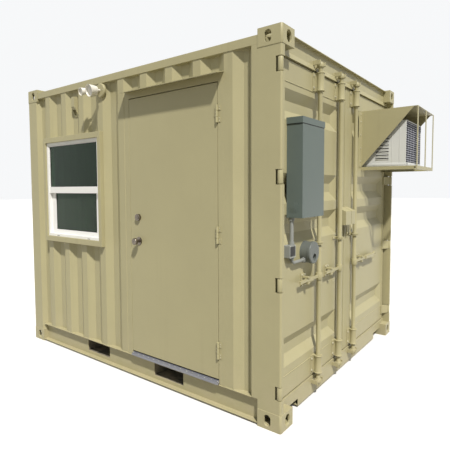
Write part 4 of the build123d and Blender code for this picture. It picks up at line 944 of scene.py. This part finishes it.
# %% Dress the lamps
LAMP_Z = 2434
CANOPY_X = -280
LAMP_HEADS = (
    # x, z, back, reach, mouth radius, tail radius
    (-371, 2423, FRONT - 74, FRONT - 136, 33, 25),
    (-280, 2424, FRONT - 46, FRONT - 118, 52, 33),
)
lenses, rims = bmesh.new(), bmesh.new()
for x, z, back, reach, wide, narrow in LAMP_HEADS:
    tail = Vector((x, back, z + 6))
    mouth = Vector((x - 8, reach, z - 8))
    inner = wide - 4
    add_bar(lenses, tail.lerp(mouth, 0.62), tail.lerp(mouth, 0.80), inner - 3, inner - 1, sides=40)
    add_bar(lenses, tail.lerp(mouth, 0.80), tail.lerp(mouth, 0.88), inner - 1, inner * 0.6, sides=40)
    for share in (0.16, 0.24, 0.32):
        size = narrow + (wide - narrow) * share + 1.5
        add_bar(rims, tail.lerp(mouth, share), tail.lerp(mouth, share + 0.035), size, sides=40)
lens_piece = piece("lamp_lenses", lenses, lamp_lens, "cabin")
ring_piece = piece("lamp_cooling_rings", rims, lamp_white, "cabin")

fixings = bmesh.new()
for side in (-1, 1):
    add_screw(fixings, (CANOPY_X + side * 38, FRONT - 12, LAMP_Z), OUT_FRONT, 4.0)
piece("lamp_box_screws", fixings, bolt_zinc, "cabin")

# %% [markdown]
# ## Electrical box, conduit and inlet
# The box has a stepped knockout on its side and a seal under its cap. The conduit has a coupling
# at the foot of that box, at the junction box and at the inlet.

# %% Dress the electrics
ENCLOSURE_Y = (-1026, -690)
COVER_X = DOOR_END + 50
KNOCKOUT_X, KNOCKOUT_Z = 1478, 1458
seal = bmesh.new()
add_block(seal, (COVER_X - 3, ENCLOSURE_Y[0] + 2, 2002), (COVER_X - 1.5, ENCLOSURE_Y[1] - 2, 2006), 0.5)
add_block(seal, (LEAF_FACE_X + 4, ENCLOSURE_Y[0] - 1.5, 2001), (COVER_X - 6, ENCLOSURE_Y[0] + 1, 2005), 0.5)
piece("enclosure_seal", seal, dark_rubber_and_painted_shade, "cargo_door_left")

fittings = bmesh.new()
for size, height in ((38, 1.2), (29, 2.2), (20, 3.2), (12, 4.0)):
    outer = (KNOCKOUT_X, ENCLOSURE_Y[0] - height, KNOCKOUT_Z)
    inner = (KNOCKOUT_X, ENCLOSURE_Y[0] + 1, KNOCKOUT_Z)
    add_bar(fittings, outer, inner, size, sides=40)
enclosure_fittings = piece("enclosure_fittings", fittings, enclosure_paint, "cargo_door_left")

PIPE_X, PIPE_Y = 1450.5, -1000
LOOP_Z = 1076
COUPLING_RADIUS = 18
couplings = bmesh.new()
for low, high in ((1374, 1386), (1104, 1118.5)):
    add_bar(couplings, (PIPE_X, PIPE_Y, low), (PIPE_X, PIPE_Y, high), COUPLING_RADIUS, sides=6)
add_bar(couplings, (PIPE_X, -836, LOOP_Z), (PIPE_X, -820, LOOP_Z), COUPLING_RADIUS, sides=6)
conduit_couplings = piece("conduit_couplings", couplings, conduit_paint, "cargo_door_left")

fixings = bmesh.new()
for y in (-1061, -985):
    for z in (1124, 1199):
        add_screw(fixings, (DOOR_END - 23, y, z), OUT_END, 3.0)
piece("electric_screws", fixings, bolt_zinc, "cargo_door_left")

# %% [markdown]
# The inlet's mouth is drawn as a dark disc of painted shade, and a small tab stands out at the upper
# side of its rim. The junction box has a flat cover in the same dark colour.

# %% Finish the inlet and the junction box
INLET_Y, MOUTH_Z = -753, 1090
MOUTH_RADIUS = 26.8
# Painted shade: a dark disc just inside the rim stands for the hollow of the inlet's mouth.
mouth = bmesh.new()
mouth_back = (DOOR_END - 37.5, INLET_Y, MOUTH_Z)
mouth_front = (DOOR_END - 36.5, INLET_Y, MOUTH_Z)
add_bar(mouth, mouth_back, mouth_front, MOUTH_RADIUS, sides=36)
piece("inlet_mouth", mouth, dark_rubber_and_painted_shade, "cargo_door_left")
tab = bmesh.new()
add_block(tab, (DOOR_END - 4, INLET_Y + 66, 1152), (DOOR_END + 2, INLET_Y + 94, 1162), 2.0)
inlet_tab = piece("inlet_tab", tab, inlet_plastic, "cargo_door_left")
cover = bmesh.new()
add_block(cover, (DOOR_END - 23.2, -1056, 1130), (DOOR_END - 22.0, -990, 1194), 0.5)
piece("junction_cover", cover, dark_rubber_and_painted_shade, "cargo_door_left")

# %% [markdown]
# ## Hood and air conditioner
# The hood is bolted to the leaf through its flange. The air conditioner's coil is a stack of thin
# fins with tubes through them, which stands for the plain block in the frame.

# %% Build the coil
AC_Y, AC_Z = (462, 1020), (1783, 2183)
COIL_X = (1774, 1802)
FIN_PITCH, FIN_THICKNESS = 5.0, 1.1
fins = bmesh.new()
count = int((AC_Y[1] - AC_Y[0] - 8) / FIN_PITCH)
for number in range(count):
    y = AC_Y[0] + 5 + number * FIN_PITCH
    add_block(fins, (COIL_X[0], y, AC_Z[0] + 4), (COIL_X[1], y + FIN_THICKNESS, AC_Z[1] - 4))
for row in range(9):
    z = AC_Z[0] + 40 + row * 40
    add_bar(fins, (COIL_X[0] + 14, AC_Y[0] + 3, z), (COIL_X[0] + 14, AC_Y[1] - 3, z), 4.0, sides=12)
add_block(fins, (COIL_X[0] - 1, AC_Y[0] + 3, AC_Z[0] + 3), (COIL_X[0], AC_Y[1] - 3, AC_Z[1] - 3))
coil = piece("ac_coil", fins, fin_metal, "cargo_door_right")
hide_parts("ac_fins")

# %% Add the guard, the side louvres and the base pan
GUARD_X = (1802, 1807.5)
LOUVRE_X = (1543, 1662)
guard = bmesh.new()
for z, tall in ((AC_Z[0] + 1, 26), (AC_Z[1] - 8, 7)):
    add_block(guard, (GUARD_X[0], AC_Y[0] + 2, z), (GUARD_X[1], AC_Y[1] - 2, z + tall), 1.0)
for y in (AC_Y[0] + 1, AC_Y[1] - 7):
    add_block(guard, (GUARD_X[0], y, AC_Z[0] + 1), (GUARD_X[1], y + 6, AC_Z[1] - 1), 1.0)
wires = bmesh.new()
for z in range(AC_Z[0] + 40, AC_Z[1] - 10, 20):
    add_bar(wires, (1804.5, AC_Y[0] + 6, z), (1804.5, AC_Y[1] - 6, z), 2.6, sides=8)
for y in range(AC_Y[0] + 80, AC_Y[1] - 40, 96):
    add_bar(wires, (1806.2, y, AC_Z[0] + 20), (1806.2, y, AC_Z[1] - 6), 1.2, sides=8)
piece("ac_guard_wires", wires, wire_grey, "cargo_door_right")
for row in range(20):
    z = AC_Z[0] + 56 + row * 15
    for y, step in ((AC_Y[0], -1), (AC_Y[1], 1)):
        ys = sorted((y, y + step * 4))
        add_block(guard, (LOUVRE_X[0], ys[0], z), (LOUVRE_X[1], ys[1], z + 5.5), 0.8)
for x in (1688, 1752):
    add_block(guard, (x, AC_Y[0] - 2.0, AC_Z[0] + 22), (x + 3, AC_Y[0] + 0.5, AC_Z[1] - 3), 0.8)
add_block(guard, (1430, AC_Y[0] - 3, AC_Z[0] - 2), (1807, AC_Y[0] + 1, AC_Z[0] + 22), 1.0)
add_block(guard, (1430, AC_Y[1] - 1, AC_Z[0] - 2), (1807, AC_Y[1] + 3, AC_Z[0] + 22), 1.0)
ac_guard = piece("ac_guard", guard, ac_enamel, "cargo_door_right")

# Painted shade: dark sheets just inside the side louvres stand for the dark inside of the casing, and a small
# dark patch does the same on the side of the hood.
dark = bmesh.new()
for y in (AC_Y[0] + 3, AC_Y[1] - 5):
    add_block(dark, (LOUVRE_X[0] - 3, y, AC_Z[0] + 50), (LOUVRE_X[1] + 3, y + 2, AC_Z[1] - 10))
add_block(dark, (1888, 414.2, 1755), (1900, 415.5, 1766), 0.3)
piece("ac_painted_shade", dark, dark_matte_and_painted_shade, "cargo_door_right")

# %% Bolt the hood to the leaf
fixings = bmesh.new()
for z in (1830, 1950, 2070, 2190, 2260):
    add_bolt(fixings, (LEAF_FACE_X + 3, 384, z), OUT_END, 10)
for y in (470, 745, 1020):
    add_bolt(fixings, (DOOR_END + 400, y, 2290 - 9.5), (0, 0, -1), 8)
piece("hood_bolts", fixings, bolt_zinc, "cargo_door_right")

# %% Add the air conditioner's controls, inside the cabin
KNOB_PLACES, KNOB_Z = (560, 640), 1830
knobs = bmesh.new()
for y in KNOB_PLACES:
    add_bar(knobs, (1190, y, KNOB_Z), (1208, y, KNOB_Z), 16, sides=28)
for y in KNOB_PLACES:
    add_block(knobs, (1184, y - 2, KNOB_Z - 14), (1190, y + 2, KNOB_Z + 14), 1)
add_block(knobs, (1206, 700, 1812), (1208, 880, 1850), 0.8)
piece("ac_controls", knobs, dark_matte_and_painted_shade, "cargo_door_right")

# %% [markdown]
# ## Inside
# The plywood floor is laid in sheets and screwed down, so it shows seams and rows of screw heads.

# %% Lay seams and screws in the floor
FLOOR_TOP = 182
SEAM_Z = (181.9, 182.3)
floor_low, floor_high = [to_grid(corner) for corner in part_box("floor")]
seams = bmesh.new()
for x in (-850, -230, 390, 1010):
    add_block(seams, (x, floor_low[1] + 4, SEAM_Z[0]), (x + 3, floor_high[1] - 4, SEAM_Z[1]))
add_block(seams, (floor_low[0] + 4, -1.5, SEAM_Z[0]), (floor_high[0] - 4, 1.5, SEAM_Z[1]))
piece("floor_seams", seams, dark_matte_and_painted_shade, "cabin")
screws = bmesh.new()
for x in (-1210, -935, -660, -230, 0, 230, 660, 935, 1210):
    for y in range(-1080, 1081, 216):
        add_screw(screws, (x, y, FLOOR_TOP), (0, 0, 1), 4.5)
piece("floor_screws", screws, bolt_zinc, "cabin")
